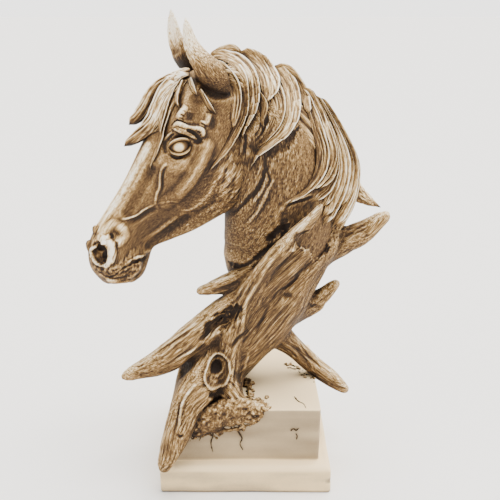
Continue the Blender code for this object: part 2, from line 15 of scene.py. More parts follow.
import bpy
import numpy as np
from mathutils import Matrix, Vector

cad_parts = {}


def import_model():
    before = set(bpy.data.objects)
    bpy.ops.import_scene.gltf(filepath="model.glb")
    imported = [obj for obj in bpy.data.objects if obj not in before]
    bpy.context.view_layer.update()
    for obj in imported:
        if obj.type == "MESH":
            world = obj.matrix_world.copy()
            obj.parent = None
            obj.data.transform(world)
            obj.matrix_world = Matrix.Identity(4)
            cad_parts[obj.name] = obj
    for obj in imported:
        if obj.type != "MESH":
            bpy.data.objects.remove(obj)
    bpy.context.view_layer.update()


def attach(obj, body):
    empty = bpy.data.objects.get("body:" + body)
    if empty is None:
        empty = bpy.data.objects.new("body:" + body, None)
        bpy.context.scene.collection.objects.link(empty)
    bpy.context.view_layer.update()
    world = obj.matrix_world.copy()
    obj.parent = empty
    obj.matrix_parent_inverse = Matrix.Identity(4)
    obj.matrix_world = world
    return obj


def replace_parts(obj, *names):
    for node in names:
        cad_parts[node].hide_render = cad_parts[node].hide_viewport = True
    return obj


LOG = logging.getLogger("horse_head")
MM = 0.001
TINY = 1e-9
THINNEST_MM = 0.02
CURVE_STEPS = 400
Array = np.ndarray
Rows = Array | list | tuple
Pair = tuple[float, float]
Triple = tuple[float, float, float]


class Side(Enum):
    """A side of the sculpture: the near one faces the photograph's camera, at the lower y."""

    NEAR = 1.0
    FAR = -1.0


def smoothstep(low: float, high: float, value: Array) -> Array:
    """Returns 0 below low, 1 above high and the cubic 3t^2 - 2t^3 between them."""
    t = np.clip((value - low) / (high - low), 0.0, 1.0)
    return t * t * (3.0 - 2.0 * t)


def unit(vectors: Array) -> Array:
    """Returns the vectors along the last axis at length one."""
    return vectors / np.maximum(np.linalg.norm(vectors, axis=-1, keepdims=True), TINY)


def curve_through(points: Rows, samples: Array, closed: bool = False) -> Array:
    """Runs a Catmull-Rom curve through points.

    Args:
        points: one row for each point, of any width.
        samples: places along the curve, from 0 to 1.
        closed: True for a ring that comes back to its first point.

    Returns:
        One row for each sample.
    """
    points = np.asarray(points, float)
    if closed:
        padded = np.concatenate([points[-1:], points, points[:2]])
        spans = len(points)
    else:
        first = 2 * points[:1] - points[1:2]
        last = 2 * points[-1:] - points[-2:-1]
        padded = np.concatenate([first, points, last])
        spans = len(points) - 1
    place = np.clip(np.asarray(samples, float), 0.0, 1.0) * spans
    start = np.minimum(place.astype(int), spans - 1)
    t = (place - start)[(...,) + (None,) * (points.ndim - 1)]
    a, b, c, d = (padded[start + k] for k in range(4))
    return 0.5 * (
        2 * b + (c - a) * t + (2 * a - 5 * b + 4 * c - d) * t**2 + (3 * b - a - 3 * c + d) * t**3
    )


def even_samples(points: Rows, count: int) -> Array:
    """Finds places on the curve through points, evenly spaced by its real length.

    Args:
        points: one row for each point.
        count: how many places.

    Returns:
        The places, from 0 to 1.
    """
    fine = np.linspace(0.0, 1.0, CURVE_STEPS)
    track = curve_through(np.asarray(points, float)[:, :3], fine)
    run = np.concatenate([[0.0], np.cumsum(np.linalg.norm(np.diff(track, axis=0), axis=1))])
    return np.interp(np.linspace(0.0, run[-1], count), run, fine)


def evened(values: Array, rounds: int) -> Array:
    """Evens out a row of values: round after round, each becomes (before + 2 itself + after) / 4."""
    for _ in range(rounds):
        values[1:-1] = (values[:-2] + 2 * values[1:-1] + values[2:]) / 4
    return values


class Grain:
    """Smooth noise: random values on a lattice, joined by a cubic blend and summed over octaves.

    Each octave is half as strong and half as wide, and is read at a place shifted by `shift`.
    """

    cells: int = 64
    shift: float = 17.3

    def __init__(self, seed: int) -> None:
        """Draws one table of values from the seed."""
        self.table = np.random.default_rng(seed).uniform(-1.0, 1.0, (self.cells,) * 3)

    def at(self, place: Array, octaves: int = 3) -> Array:
        """Reads the noise.

        Args:
            place: rows of x, y, z.
            octaves: how many are summed.

        Returns:
            One value for each row, from about -1 to 1.
        """
        total, size = 0.0, 1.0
        for octave in range(octaves):
            p = place * 2.0**octave + self.shift * octave
            low = np.floor(p).astype(int)
            t = p - low
            t = t * t * (3 - 2 * t)
            value = 0.0
            for corner in range(8):
                step = np.array([corner & 1, corner >> 1 & 1, corner >> 2 & 1])
                weight = np.prod(np.where(step, t, 1 - t), axis=-1)
                index = (low + step) % self.cells
                value = value + weight * self.table[index[..., 0], index[..., 1], index[..., 2]]
            total = total + value * size
            size *= 0.5
        return total


TORN = Grain(4)
RAGGED_MM = (2.2, 2.2, 9.0)
STREAK_MM = (1.3, 1.3, 5.0)
# How relief is measured: rounds of smoothing, share, and the height in mm that counts as high.
RELIEF_SCALES = ((8, 0.65, 0.16), (50, 0.3, 0.9))


@dataclass(frozen=True)
class Touch:
    """One touch of the modelling tool and the brush, along spots given as pixels of the photograph.

    Radius and height are in millimetres, and a groove's height is below nought. Tone lightens, or
    darkens below nought. A touch no wider than `thin` that tapers dies away at its ends.
    """

    spots: tuple
    radius: float
    height: float = 0.0
    tone: float = 0.0
    power: float = 1.5
    tapers: bool = True
    ragged: float = 0.0
    thin: float = 5.0


@dataclass(frozen=True)
class PhotoView:
    """The camera of the photograph, which finds a place seen in it on the sculpture.

    Pixels are those of a picture 500 wide and high. Lengths are millimetres.
    """

    place: Triple = (4.0, -550.0, 399.0)
    tilt: float = 19.7
    focal: float = 665.0
    middle: float = 250.0

    def axes(self) -> Array:
        """Returns the unit vectors to the right, up and ahead, one row each."""
        lean = math.radians(self.tilt)
        rise, ahead = math.sin(lean), math.cos(lean)
        return np.array([[1.0, 0.0, 0.0], [0.0, rise, ahead], [0.0, ahead, -rise]])

    def project(self, points: Array) -> tuple[Array, Array]:
        """Finds where points are seen.

        Args:
            points: rows of x, y, z.

        Returns:
            Their pixels, as column and row, and their depths ahead of the camera.
        """
        local = (points - np.array(self.place)) @ self.axes().T
        scale = self.focal / local[:, 2]
        pixels = self.middle + scale[:, None] * local[:, :2] * [1.0, -1.0]
        return pixels, local[:, 2]

    def at_depth(self, spots: Rows, depth: Array) -> Array:
        """Finds what is seen at pixels.

        Args:
            spots: pixels of the photograph.
            depth: how far ahead each is.

        Returns:
            One point for each pixel.
        """
        spots = (np.asarray(spots, float) - self.middle) / self.focal * [1.0, -1.0]
        local = np.concatenate([spots, np.ones((len(spots), 1))], axis=1) * depth[:, None]
        return np.array(self.place) + local @ self.axes()

    def on_plane(self, spots: Rows, axis: int, level: float) -> Array:
        """Returns the points that are seen at pixels and lie on a plane across an axis."""
        rays = self.at_depth(spots, np.ones(len(spots))) - np.array(self.place)
        return np.array(self.place) + rays * ((level - self.place[axis]) / rays[:, axis])[:, None]


class Bed:
    """The surface that locks and marks are laid on, as the photograph sees it or from the far side."""

    seen_px: float = 2.2
    behind_mm: float = 3.0
    nearest: int = 3

    def __init__(self, skins: list[Surface], view: PhotoView = PhotoView()) -> None:
        """Gathers the points of the skins and projects them."""
        self.view = view
        self.points = np.concatenate([skin.points.reshape(-1, 3) for skin in skins])
        self.pixels, self.depths = view.project(self.points)

    def seen(self, spots: Rows, side: Side = Side.NEAR, soften: int = 0) -> Array:
        """Finds the places on the bed at pixels, or straight behind them on its far side.

        Args:
            spots: one row for each pixel.
            side: the side that they are on.
            soften: rounds of evening out the depths along the row of spots.

        Returns:
            One point for each spot. Outside the bed's outline it has the depth of the nearest part.
        """
        spots = np.asarray(spots, float)
        depth = []
        for spot in spots:
            gap = np.hypot(*(self.pixels - spot).T)
            near = self.depths[gap < max(self.seen_px, gap.min() + 1.0)]
            depth.append(np.sort(near)[:self.nearest].mean())
        found = self.view.at_depth(spots, evened(np.array(depth), soften))
        if side is Side.FAR:
            found[:, 1] = evened(np.array([self.farthest(x, z) for x, z in found[:, [0, 2]]]), soften)
        return found

    def farthest(self, x: float, z: float) -> float:
        """Returns the y of the farthest point near (x, z)."""
        gap = np.hypot(self.points[:, 0] - x, self.points[:, 2] - z)
        return self.points[gap < max(self.behind_mm, gap.min() + self.behind_mm / 2), 1].max()


class Surface:
    """A closed surface, in millimetres, that is brushed like clay.

    Tone is its paint, from -1 for the dark wash to 1 for dry-brushed cream, and in places it also
    holds painted shade and painted highlights. Coat is how strongly the finish's strokes show. Flow
    holds coordinates that stream with the form: across and out from its middle line, and along it.
    """

    points: Array
    flow: Array
    tone: Array
    coat: Array

    def normals(self) -> Array:
        """Returns the outward normals at the points."""
        raise NotImplementedError

    def smoothed(self, rounds: int) -> Array:
        """Returns the points after each has moved, round after round, halfway to its neighbours."""
        raise NotImplementedError

    def faces(self) -> tuple[Array, Array, Array]:
        """Returns the values of every vertex, the quads and the triangles; see values."""
        raise NotImplementedError

    def values(self) -> Array:
        """Returns one row for each point: x, y, z, flow, relief, tone and coat."""
        columns = [self.points, self.flow]
        columns += [value[..., None] for value in (self.relief(), self.tone, self.coat)]
        return np.concatenate(columns, axis=-1).reshape(-1, 9)

    def push(self, height: Array) -> None:
        """Moves every point along its normal by height."""
        self.points = self.points + self.normals() * height[..., None]

    def distance_to(self, path: Array) -> tuple[Array, Array]:
        """Measures to a line of points.

        Args:
            path: the line's points, one row each.

        Returns:
            The distance of every point to the line, and how far along the line it is nearest,
            from 0 to 1.
        """
        path = np.asarray(path, float)
        flat = self.points.reshape(-1, 3)
        best = np.full(len(flat), np.inf)
        place = np.zeros(len(flat))
        lengths = np.linalg.norm(np.diff(path, axis=0), axis=1)
        total = max(lengths.sum(), TINY)
        done = 0.0
        for a, b, length in zip(path[:-1], path[1:], lengths):
            step = b - a
            t = np.clip(((flat - a) @ step) / max(length**2, TINY), 0.0, 1.0)
            away = np.linalg.norm(flat - a - t[:, None] * step, axis=1)
            near = away < best
            best[near] = away[near]
            place[near] = (done + t[near] * length) / total
            done += length
        shape = self.points.shape[:-1]
        return best.reshape(shape), place.reshape(shape)

    def stroke(self, path: Array, touch: Touch) -> Array:
        """Returns the weight of a touch drawn along a path.

        It is (1 - (distance / radius)^2)^power inside the radius. Noise makes a ragged radius, and
        a thin tapering touch dies away towards both ends of its path, as the sine of the place there.
        """
        away, place = self.distance_to(path)
        if touch.ragged:
            away = away / np.clip(1.0 + touch.ragged * TORN.at(self.flow / RAGGED_MM, 3), 0.3, 2.0)
        weight = np.clip(1.0 - (away / touch.radius) ** 2, 0.0, 1.0) ** touch.power
        if touch.tapers and touch.radius < touch.thin:
            weight = weight * np.sin(np.pi * np.clip(place, 0.0, 1.0)) ** 0.6
        return weight

    def work(self, path: Array, touch: Touch) -> None:
        """Raises or sinks the surface along a path, and paints it streakily lighter or darker."""
        weight = self.stroke(curve_through(path, np.linspace(0.0, 1.0, 24)) if len(path) > 2 else path, touch)
        self.push(touch.height * weight)
        self.tone = self.tone + touch.tone * weight * (1.0 + 0.6 * TORN.at(self.flow / STREAK_MM, 2))

    def carve(self, touches: tuple[Touch, ...]) -> None:
        """Works the touches in turn, each where the photograph sees its spots on the surface so far."""
        for touch in touches:
            self.work(Bed([self]).seen(touch.spots), touch)

    def relief(self) -> Array:
        """Returns how far each point stands out of its surroundings, from -1 to 1.

        The height over a close and over a wide smoothing, each bounded by the hyperbolic tangent.
        """
        normals, total = self.normals(), 0.0
        for rounds, share, high in RELIEF_SCALES:
            height = ((self.points - self.smoothed(rounds)) * normals).sum(axis=-1)
            total = total + share * np.tanh(height / high)
        return np.clip(total, -1.0, 1.0)


class Skin(Surface):
    """A surface on a grid of rows and columns; the columns go once round, and both ends close."""

    def __init__(self, points: Array) -> None:
        """Keeps the points as rows x columns x 3, and finds which way is out and its flow."""
        self.points = points
        self.side = 1.0
        centre = points.mean(axis=1, keepdims=True)
        spread = points - centre
        self.side = 1.0 if (self.normals() * spread).sum() > 0 else -1.0
        tangent = unit(np.gradient(centre[:, 0], axis=0))[:, None]
        first = spread[:, :1] - (spread[:, :1] * tangent).sum(axis=2, keepdims=True) * tangent
        first = unit(first)
        second = np.cross(tangent, first)
        run = np.linalg.norm(np.diff(centre[:, 0], axis=0), axis=1)
        along = np.concatenate([[0.0], np.cumsum(run)])[:, None] + (spread * tangent).sum(axis=2)
        self.flow = np.stack([(spread * first).sum(axis=2), (spread * second).sum(axis=2), along], axis=-1)
        self.tone = np.zeros(points.shape[:2])
        self.coat = np.ones(points.shape[:2])

    def normals(self) -> Array:
        """Returns the outward normals: the cross product of the steps round and along."""
        along = np.gradient(self.points, axis=0)
        around = np.roll(self.points, -1, axis=1) - np.roll(self.points, 1, axis=1)
        return self.side * unit(np.cross(around, along))

    def smoothed(self, rounds: int) -> Array:
        """Returns the points smoothed on the grid; the two end rings stay."""
        p = self.points
        for _ in range(rounds):
            side = (np.roll(p, 1, axis=1) + np.roll(p, -1, axis=1)) / 2
            inner = (p[:-2] + p[2:]) / 2
            p = p.copy()
            p[1:-1] += 0.5 * ((side[1:-1] + inner) / 2 - p[1:-1])
        return p

    def moved(self, place: Callable[[Array], Array]) -> Skin:
        """Carries this skin by a function of its points, and returns it."""
        before = self.normals()
        self.points = place(self.points)
        probe = place(self.points * 0 + before) - place(self.points * 0)
        if (self.normals() * probe).sum() < 0:
            self.side = -self.side
        return self

    def faces(self) -> tuple[Array, Array, Array]:
        """Returns the vertices' values, the quads between rings, and a fan on each end."""
        rows, cols = self.points.shape[:2]
        ids = np.arange(rows * cols).reshape(rows, cols)
        after = np.roll(ids, -1, axis=1)
        quads = np.stack([ids[:-1], after[:-1], after[1:], ids[1:]], axis=-1).reshape(-1, 4)
        grid = self.values().reshape(rows, cols, 9)
        poles = [grid[end].mean(axis=0)[None] for end in (0, -1)]
        values = np.concatenate([grid.reshape(-1, 9)] + poles)
        first, last = rows * cols, rows * cols + 1
        start = np.stack([after[0], ids[0], np.full(cols, first)], axis=-1)
        end = np.stack([ids[-1], after[-1], np.full(cols, last)], axis=-1)
        fans = np.concatenate([start, end])
        if self.side < 0:
            quads, fans = quads[:, ::-1], fans[:, ::-1]
        return values, quads, fans


class Shell(Surface):
    """A surface of quads in any arrangement, such as forms fused into one."""

    def __init__(self, points: Array, quads: Array) -> None:
        """Keeps the points and quads, and finds the edges."""
        self.points = points
        self.quads = quads
        pairs = np.concatenate([quads[:, [k, (k + 1) % 4]] for k in range(4)])
        pairs = np.sort(pairs, axis=1)
        keys = np.unique(pairs[:, 0] * len(points) + pairs[:, 1])
        self.edges = np.stack([keys // len(points), keys % len(points)], axis=-1)
        self.degree = np.bincount(self.edges.ravel(), minlength=len(points))[:, None]
        self.flow = np.zeros_like(points)
        self.tone = np.zeros(len(points))
        self.coat = np.ones(len(points))

    def normals(self) -> Array:
        """Returns the normals: the cross products of the quads' diagonals, summed at each point."""
        p, q = self.points, self.quads
        face = np.cross(p[q[:, 2]] - p[q[:, 0]], p[q[:, 3]] - p[q[:, 1]])
        total = np.zeros_like(p)
        for corner in range(4):
            for axis in range(3):
                total[:, axis] += np.bincount(q[:, corner], face[:, axis], len(p))
        return unit(total)

    def smoothed(self, rounds: int) -> Array:
        """Returns the points smoothed along the edges."""
        p = self.points
        a, b = self.edges.T
        for _ in range(rounds):
            near = np.empty_like(p)
            for axis in range(3):
                near[:, axis] = np.bincount(a, p[b, axis], len(p)) + np.bincount(b, p[a, axis], len(p))
            p = 0.5 * p + 0.5 * near / self.degree
        return p

    def faces(self) -> tuple[Array, Array, Array]:
        """Returns the vertices' values and the quads, with no triangles."""
        return self.values(), self.quads, np.empty((0, 3), int)


def swept(
    path: Rows,
    rows: int,
    cols: int,
    face: Triple | Array = (0.0, -1.0, 0.0),
    squareness: float = 2.0,
    blunt: Pair = (0.25, 0.02),
) -> Skin:
    """Carries a flattened ring along a path.

    The ring at each place is |x/w|^e + |y/t|^e = 1, with e the squareness. Its width w lies across
    the path and across `face`, and its thickness t along `face`, which is made square to the path.

    Args:
        path: rows of x, y, z, half width, half thickness.
        rows: rings along the path.
        cols: points round each ring.
        face: the way the flat side looks; one vector, or one for each row of path.
        squareness: 2 for an ellipse, more for a boxier ring.
        blunt: the share of the length over which the start and the end round off.

    Returns:
        The closed skin.
    """
    path = np.asarray(path, float)
    samples = even_samples(path, rows)
    track = curve_through(path, samples)
    centre, half = track[:, :3], np.maximum(track[:, 3:5], THINNEST_MM)
    tangent = unit(np.gradient(centre, axis=0))
    face = np.asarray(face, float)
    look = curve_through(face, samples) if face.ndim == 2 else np.broadcast_to(face, centre.shape)
    look = unit(look - (look * tangent).sum(axis=1, keepdims=True) * tangent)
    across = np.cross(tangent, look)
    run = np.linspace(0.0, 1.0, rows)
    ends = [np.sqrt(np.clip(1 - (1 - np.clip(past / max(share, TINY), 0, 1)) ** 2, 0, 1))
            for past, share in zip((run, 1 - run), blunt)]
    half = half * np.minimum(*ends)[:, None]
    angle = np.linspace(0.0, 2 * np.pi, cols, endpoint=False)
    power = 2.0 / squareness
    x = np.sign(np.cos(angle)) * np.abs(np.cos(angle)) ** power
    y = np.sign(np.sin(angle)) * np.abs(np.sin(angle)) ** power
    points = (
        centre[:, None]
        + across[:, None] * (half[:, :1] * x)[..., None]
        + look[:, None] * (half[:, 1:] * y)[..., None]
    )
    return Skin(points[:, ::-1])


def lofted(rails: list[list[Triple]], rows: int, cols: int) -> Skin:
    """Lofts a two-sided body through rails that run along it.

    Each rail is one line of stations down the near half, from the top centre line to the bottom
    centre line. The far half is its mirror, and a ring through each station's rails is a closed
    Catmull-Rom curve.

    Args:
        rails: for each rail, its stations as along, up, out.
        rows: rings along the body.
        cols: points round each ring, an even number.

    Returns:
        The skin in along, out, up coordinates.
    """
    table = np.array(rails, float)
    near = np.stack([table[..., 0], table[..., 2], table[..., 1]], axis=-1)
    far = near[1:-1][::-1] * np.array([1.0, -1.0, 1.0])
    ring = np.concatenate([near, far])
    middle = ring.mean(axis=0)
    samples = even_samples(middle, rows)
    tracks = np.stack([curve_through(rail, samples) for rail in ring])
    places = np.linspace(0.0, 1.0, cols, endpoint=False)
    points = curve_through(tracks, places, closed=True)
    return Skin(points.transpose(1, 0, 2))


def ridged(noise: Array) -> Array:
    """Turns noise into sharp ridges with round valleys: 1 - 2 |noise|."""
    return 1.0 - 2.0 * np.abs(noise)


def plain_mesh(name: str, surfaces: list[Surface]) -> tuple[bpy.types.Mesh, Array]:
    """Joins surfaces into one mesh.

    Args:
        name: the mesh's name.
        surfaces: the surfaces, in millimetres.

    Returns:
        The mesh, in metres, and the values of its vertices; see Surface.values.
    """
    values, loops, sizes, first = [], [], [], 0
    for surface in surfaces:
        own, quads, fans = surface.faces()
        values.append(own)
        loops += [(quads + first).ravel(), (fans + first).ravel()]
        sizes += [np.full(len(quads), 4), np.full(len(fans), 3)]
        first += len(own)
    values, loops, sizes = np.concatenate(values), np.concatenate(loops), np.concatenate(sizes)
    mesh = bpy.data.meshes.new(name)
    mesh.vertices.add(len(values))
    mesh.loops.add(len(loops))
    mesh.polygons.add(len(sizes))
    mesh.vertices.foreach_set("co", (values[:, :3] * MM).ravel())
    mesh.loops.foreach_set("vertex_index", loops.astype(np.int32))
    starts = np.concatenate([[0], np.cumsum(sizes)[:-1]]).astype(np.int32)
    mesh.polygons.foreach_set("loop_start", starts)
    mesh.update(calc_edges=True)
    return mesh, values


def cast_piece(name: str, surfaces: list[Surface], finish: bpy.types.Material, slot: str) -> bpy.types.Object:
    """Makes one visible piece that rides on the sculpture.

    Args:
        name: the piece's name.
        surfaces: what it is joined from.
        finish: its material.
        slot: the record's material slot of the casting that it belongs to; not used.

    Returns:
        The object, at the origin, with flow, relief, tone and coat as attributes of its vertices.
    """
    mesh, values = plain_mesh(name, surfaces)
    mesh.attributes.new("flow", "FLOAT_VECTOR", "POINT").data.foreach_set("vector", values[:, 3:6].ravel())
    for column, label in ((6, "relief"), (7, "tone"), (8, "coat")):
        mesh.attributes.new(label, "FLOAT", "POINT").data.foreach_set("value", values[:, column])
    mesh.shade_smooth()
    mesh.materials.append(finish)
    piece = bpy.data.objects.new(name, mesh)
    bpy.context.scene.collection.objects.link(piece)
    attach(piece, "root")
    LOG.info("%s: %d faces", name, len(mesh.polygons))
    return piece


def fused(forms: list[Skin], voxel: float) -> Shell:
    """Joins overlapping skins into one.

    Args:
        forms: the skins.
        voxel: about how wide a quad is.

    Returns:
        A skin of quads.
    """
    mesh, _ = plain_mesh("fuse", forms)
    piece = bpy.data.objects.new("fuse", mesh)
    bpy.context.scene.collection.objects.link(piece)
    remesh = piece.modifiers.new("fuse", "REMESH")
    remesh.mode = "VOXEL"
    remesh.voxel_size = voxel * MM
    view = bpy.context.evaluated_depsgraph_get()
    view.update()
    result = bpy.data.meshes.new_from_object(piece.evaluated_get(view))
    points = np.empty(len(result.vertices) * 3, np.float32)
    result.vertices.foreach_get("co", points)
    corners = np.empty(len(result.loops), np.int32)
    result.loops.foreach_get("vertex_index", corners)
    bpy.data.objects.remove(piece)
    bpy.data.meshes.remove(mesh)
    bpy.data.meshes.remove(result)
    return Shell(points.reshape(-1, 3).astype(float) / MM, corners.reshape(-1, 4).astype(int))


@dataclass
class HorseHead:
    """The head: a loft through eight rails, then modelled with brushes and applied strips of clay.

    Head coordinates run along from the poll to the muzzle, up towards the forehead and out
    towards the near side. The head leans down by `lean` degrees and turns by `turn` degrees. Each
    rail's stations are along, up and out. Fur shows more from the upper to the lower fur level.
    """

    rows: int = 300
    cols: int = 230
    poll: Triple = (-25.0, -5.0, 352.0)
    lean: float = 57.2
    turn: float = 20.0
    eye_spot: Pair = (181.0, 146.6)
    eye_depth: float = 5.8
    fur_levels: Pair = (-12.0, -42.0)
    fur_shares: Pair = (0.55, 0.5)
    lips: Touch = Touch(((98, 268), (110, 271), (122, 272), (136, 266)), 12.0, 0.9)
    lip_lumps: float = 3.0
    skull_line: tuple = ((-10.0, 0.0, -15.0), (40.0, 0.0, -15.0), (120.0, 0.0, 0.0))
    top: tuple = (
        (-3, 2, 0), (6, 16, 0), (22, 24, 0), (42, 26, 0), (64, 23.5, 0), (86, 21.5, 0), (108, 20, 0),
        (128, 20.5, 0), (146, 21.5, 0), (161, 21.5, 0), (174, 17.5, 0), (185, 9, 0), (191, -4, 0),
        (191.5, -10, 0))
    edge: tuple = (
        (-3, 1, 5), (6, 12, 13), (22, 20, 17), (42, 20.5, 20), (64, 17.5, 16), (86, 17.5, 11.5),
        (108, 16.5, 10), (128, 17, 9.5), (146, 18, 9.5), (160, 18.5, 10), (173, 14, 10.5), (184, 6, 8.5),
        (189.5, -5, 5), (190.5, -10.5, 2))
    brow: tuple = (
        (-3, -4, 9), (6, 2, 20), (22, 12, 25), (43, 11.5, 31), (65, 7.5, 27), (87, 8, 19), (108, 8.5, 15.5),
        (128, 9.5, 13.5), (146, 11, 13.5), (159, 11, 15.5), (171, 6, 16.5), (181.5, -1, 13.5),
        (187.5, -9, 8), (189.5, -11.5, 3))
    crest: tuple = (
        (-2, -14, 10), (7, -14, 23), (23, -4, 27), (44, -5, 31.5), (66, -7, 30), (88, -6, 25.5),
        (109, -3, 20), (128, 0, 16), (145, 1, 16), (158, 0, 17.5), (169, -4, 17), (179, -9.5, 13.5),
        (185, -13.5, 8), (188, -13.5, 3))
    cheek: tuple = (
        (-1, -24, 9), (9, -30, 22), (25, -26, 27), (47, -29, 30), (69, -30, 29), (91, -25, 24.5),
        (111, -18, 18.5), (129, -12, 14), (144, -9, 13.5), (157, -10, 14), (168, -14, 14.5),
        (177, -17.5, 11.5), (182.5, -18.5, 7.5), (187, -15, 2.5))
    jaw: tuple = (
        (0, -32, 7), (12, -45, 17), (28, -52, 21), (51, -57, 24), (74, -55, 23.5), (95, -44, 19.5),
        (113, -35, 15), (130, -26.5, 12), (144, -19, 10.5), (157, -21, 11.5), (168, -24.5, 11.5),
        (176, -25, 9.5), (181, -23, 6.5), (186, -16.5, 2))
    bar: tuple = (
        (0, -37, 4), (13, -55, 9), (31, -68, 12), (55, -74, 14), (79, -69, 15), (99, -58, 14),
        (117, -47, 12), (132, -35.5, 9.5), (145.5, -25.5, 8), (157, -28.5, 8), (168, -31.5, 8),
        (176, -30.5, 6.5), (181, -26, 4.5), (185.5, -17.5, 1.5))
    throat: tuple = (
        (0, -38, 0), (13, -57, 0), (31, -70, 0), (55, -76, 0), (79, -71, 0), (99, -59, 0), (117, -48, 0),
        (132, -37, 0), (145.5, -28, 0), (156, -30, 0), (168, -32.5, 0), (176, -31.5, 0), (182, -27, 0),
        (185.5, -18.5, 0))

    skull: tuple[Touch, ...] = (
        Touch(((196, 102), (194, 112), (191, 120)), 9, -2.4, 0.05),
        # Painted shade under the near ear's base, in a shallow hollow.
        Touch(((206, 88), (214, 93), (225, 93), (233, 87)), 6, -1.5, -0.5),
        Touch(((181, 147.5), (181.5, 147)), 12, -4.6, tapers=False, power=2),
    )
    cheekbone: tuple[Touch, ...] = (
        Touch(((207, 147), (203, 158), (197, 169), (189, 182), (178, 195), (167, 203)), 7.5, 1.5, 0.0),
        Touch(((206, 150), (202, 161), (196, 171.5), (188, 184), (177, 196)), 1.7, 0.5, 0.4),
        Touch(((213, 168), (206, 182), (198, 193), (187, 203)), 8, -0.8, 0.0),
        Touch(((230, 168), (241, 178), (236, 192)), 9, 0.4, 0.35, ragged=1.2),
        Touch(((222, 186), (226, 200), (212, 208)), 8, 0.3, 0.2, ragged=1.2),
        Touch(((164, 162), (174, 167), (184, 166)), 8, 0.6, 0.45),
        Touch(((152, 176), (166, 190), (170, 200)), 10, -0.7, -0.05),
    )
    veins: tuple[Touch, ...] = (
        Touch(((166.5, 163.5), (161.4, 169), (160, 176), (159.7, 187), (156.5, 194.4), (155, 205)),
              1.5, 0.9, 0.5),
        Touch(((168, 166), (163.6, 171), (162.4, 178), (162, 188), (159, 196)), 1.6, -0.5, -0.35),
        Touch(((180, 203.6), (172, 202), (160, 203.6), (155, 205)), 1.4, 0.5, -0.3),
        Touch(((155, 205), (144.5, 209.8), (136, 216), (120.7, 219.9)), 1.5, 0.9, 0.5),
        Touch(((157, 208), (147, 213), (138, 219), (127, 223)), 3.4, -0.9, -0.3),
        Touch(((214, 186), (208, 196), (198, 206), (189, 210.5), (180, 211)), 1.8, 0.7, 0.2),
        Touch(((218, 193), (212, 203), (201, 211), (190, 215)), 4.5, -0.7, -0.1),
    )
    jaw_muscle: tuple[Touch, ...] = (
        Touch(((178, 217), (158.6, 231), (142, 243)), 3.2, 0.8, 0.1),
        Touch(((186, 219), (166, 233), (150, 247)), 6, -0.8, -0.3),
    )
    bridge: tuple[Touch, ...] = (
        # A pale stripe down the nose bridge, partly dry-brushed cream on the ridge and partly a painted
        # highlight where the light falls on it.
        Touch(((146, 147), (126, 182), (109, 210), (98, 227)), 6, 0.5, 0.85, power=1),
        Touch(((153, 152), (135, 184), (116, 211)), 12, 0.0, 0.4),
        Touch(((150, 170), (139, 191), (127, 212)), 6, -0.9, -0.25),
    )
    nostril: tuple[Touch, ...] = (
        Touch(((101, 237), (107, 229), (114, 225), (122, 229), (124, 236), (119, 242)), 5.5, 1.3, 0.65),
        Touch(((98.5, 225), (95.5, 231), (92, 239)), 1.7, -1.1, -0.6),
        Touch(((93.5, 225.5), (93.3, 230.5)), 3.2, 1.7, -1.0, tapers=False),
        Touch(((87.6, 243.5), (87.4, 249)), 4.0, 1.7, -0.8, tapers=False),
        Touch(((108.2, 236.4), (108.4, 236.6)), 2.4, 1.0, 0.5, tapers=False),
        Touch(((110.4, 233.6), (112.2, 235.6), (112.3, 238.4)), 1.5, -1.0, -0.9),
        Touch(((97, 250), (99.5, 254.5), (101, 258)), 7.4, -5.0, 0.15, power=0.7, tapers=False),
        Touch(((100, 247.5), (104, 250.5), (105, 256)), 3.6, -2.0, -0.35, tapers=False),
        Touch(((90.6, 256), (91, 250.6), (95.4, 246.6), (104, 242.8)), 1.9, 1.8, 1.0, tapers=False),
        Touch(((91, 257), (95.4, 262.6), (99.6, 265.4), (105, 265.6)), 1.9, 1.6, 0.8, tapers=False),
        Touch(((100, 238), (105.5, 240.6), (110.6, 244.6), (112.2, 250), (111.4, 256), (108.6, 262),
               (103.6, 266)),
              4.0, 2.4, 1.3, power=1),
        Touch(((116.4, 241), (117, 247), (115.6, 254), (111.6, 262)), 1.6, -1.2, -0.55),
        Touch(((118.6, 244), (118.8, 250), (117, 256)), 1.0, 0.5, 0.4),
        Touch(((97, 268), (101, 270.5), (106, 270)), 1.4, -0.8, -0.5),
    )
    mouth: tuple[Touch, ...] = (
        Touch(((134.5, 263), (140, 260.6), (147, 259.8)), 2.2, -2.6, -0.4, power=1),
        Touch(((135, 263), (127.7, 267), (120.7, 271), (115, 276), (110, 278.5)),
              1.9, -1.4, -0.25, tapers=False),
        Touch(((126, 264), (133, 259.6), (139, 257), (146, 256.4), (150, 257.5)), 1.8, 1.5, 0.5),
        Touch(((110, 269), (118, 267), (127, 262), (131, 256)), 6.0, 0.6, 0.2, ragged=1.2),
        Touch(((98, 274), (106, 279.5), (117, 281.5), (133, 277), (141, 268)), 2.6, 0.8, 0.45),
        Touch(((150, 261), (148, 272), (140, 282)), 9.0, -5.0, -0.1, tapers=False),
        Touch(((110, 282), (118, 284), (126, 283)), 5.0, 1.6, 0.1, tapers=False),
        # Painted shadow under the chin.
        Touch(((121, 283), (126, 277.5), (129, 272)), 4.0, -0.5, -0.55, ragged=0.5),
        Touch(((97, 271.5), (103, 277), (110, 280.3), (118, 280.4)), 1.3, 0.6, 0.6),
        Touch(((110.5, 277.4), (114, 279.2), (118.5, 278.9)), 1.2, -0.8, -0.8),
    )
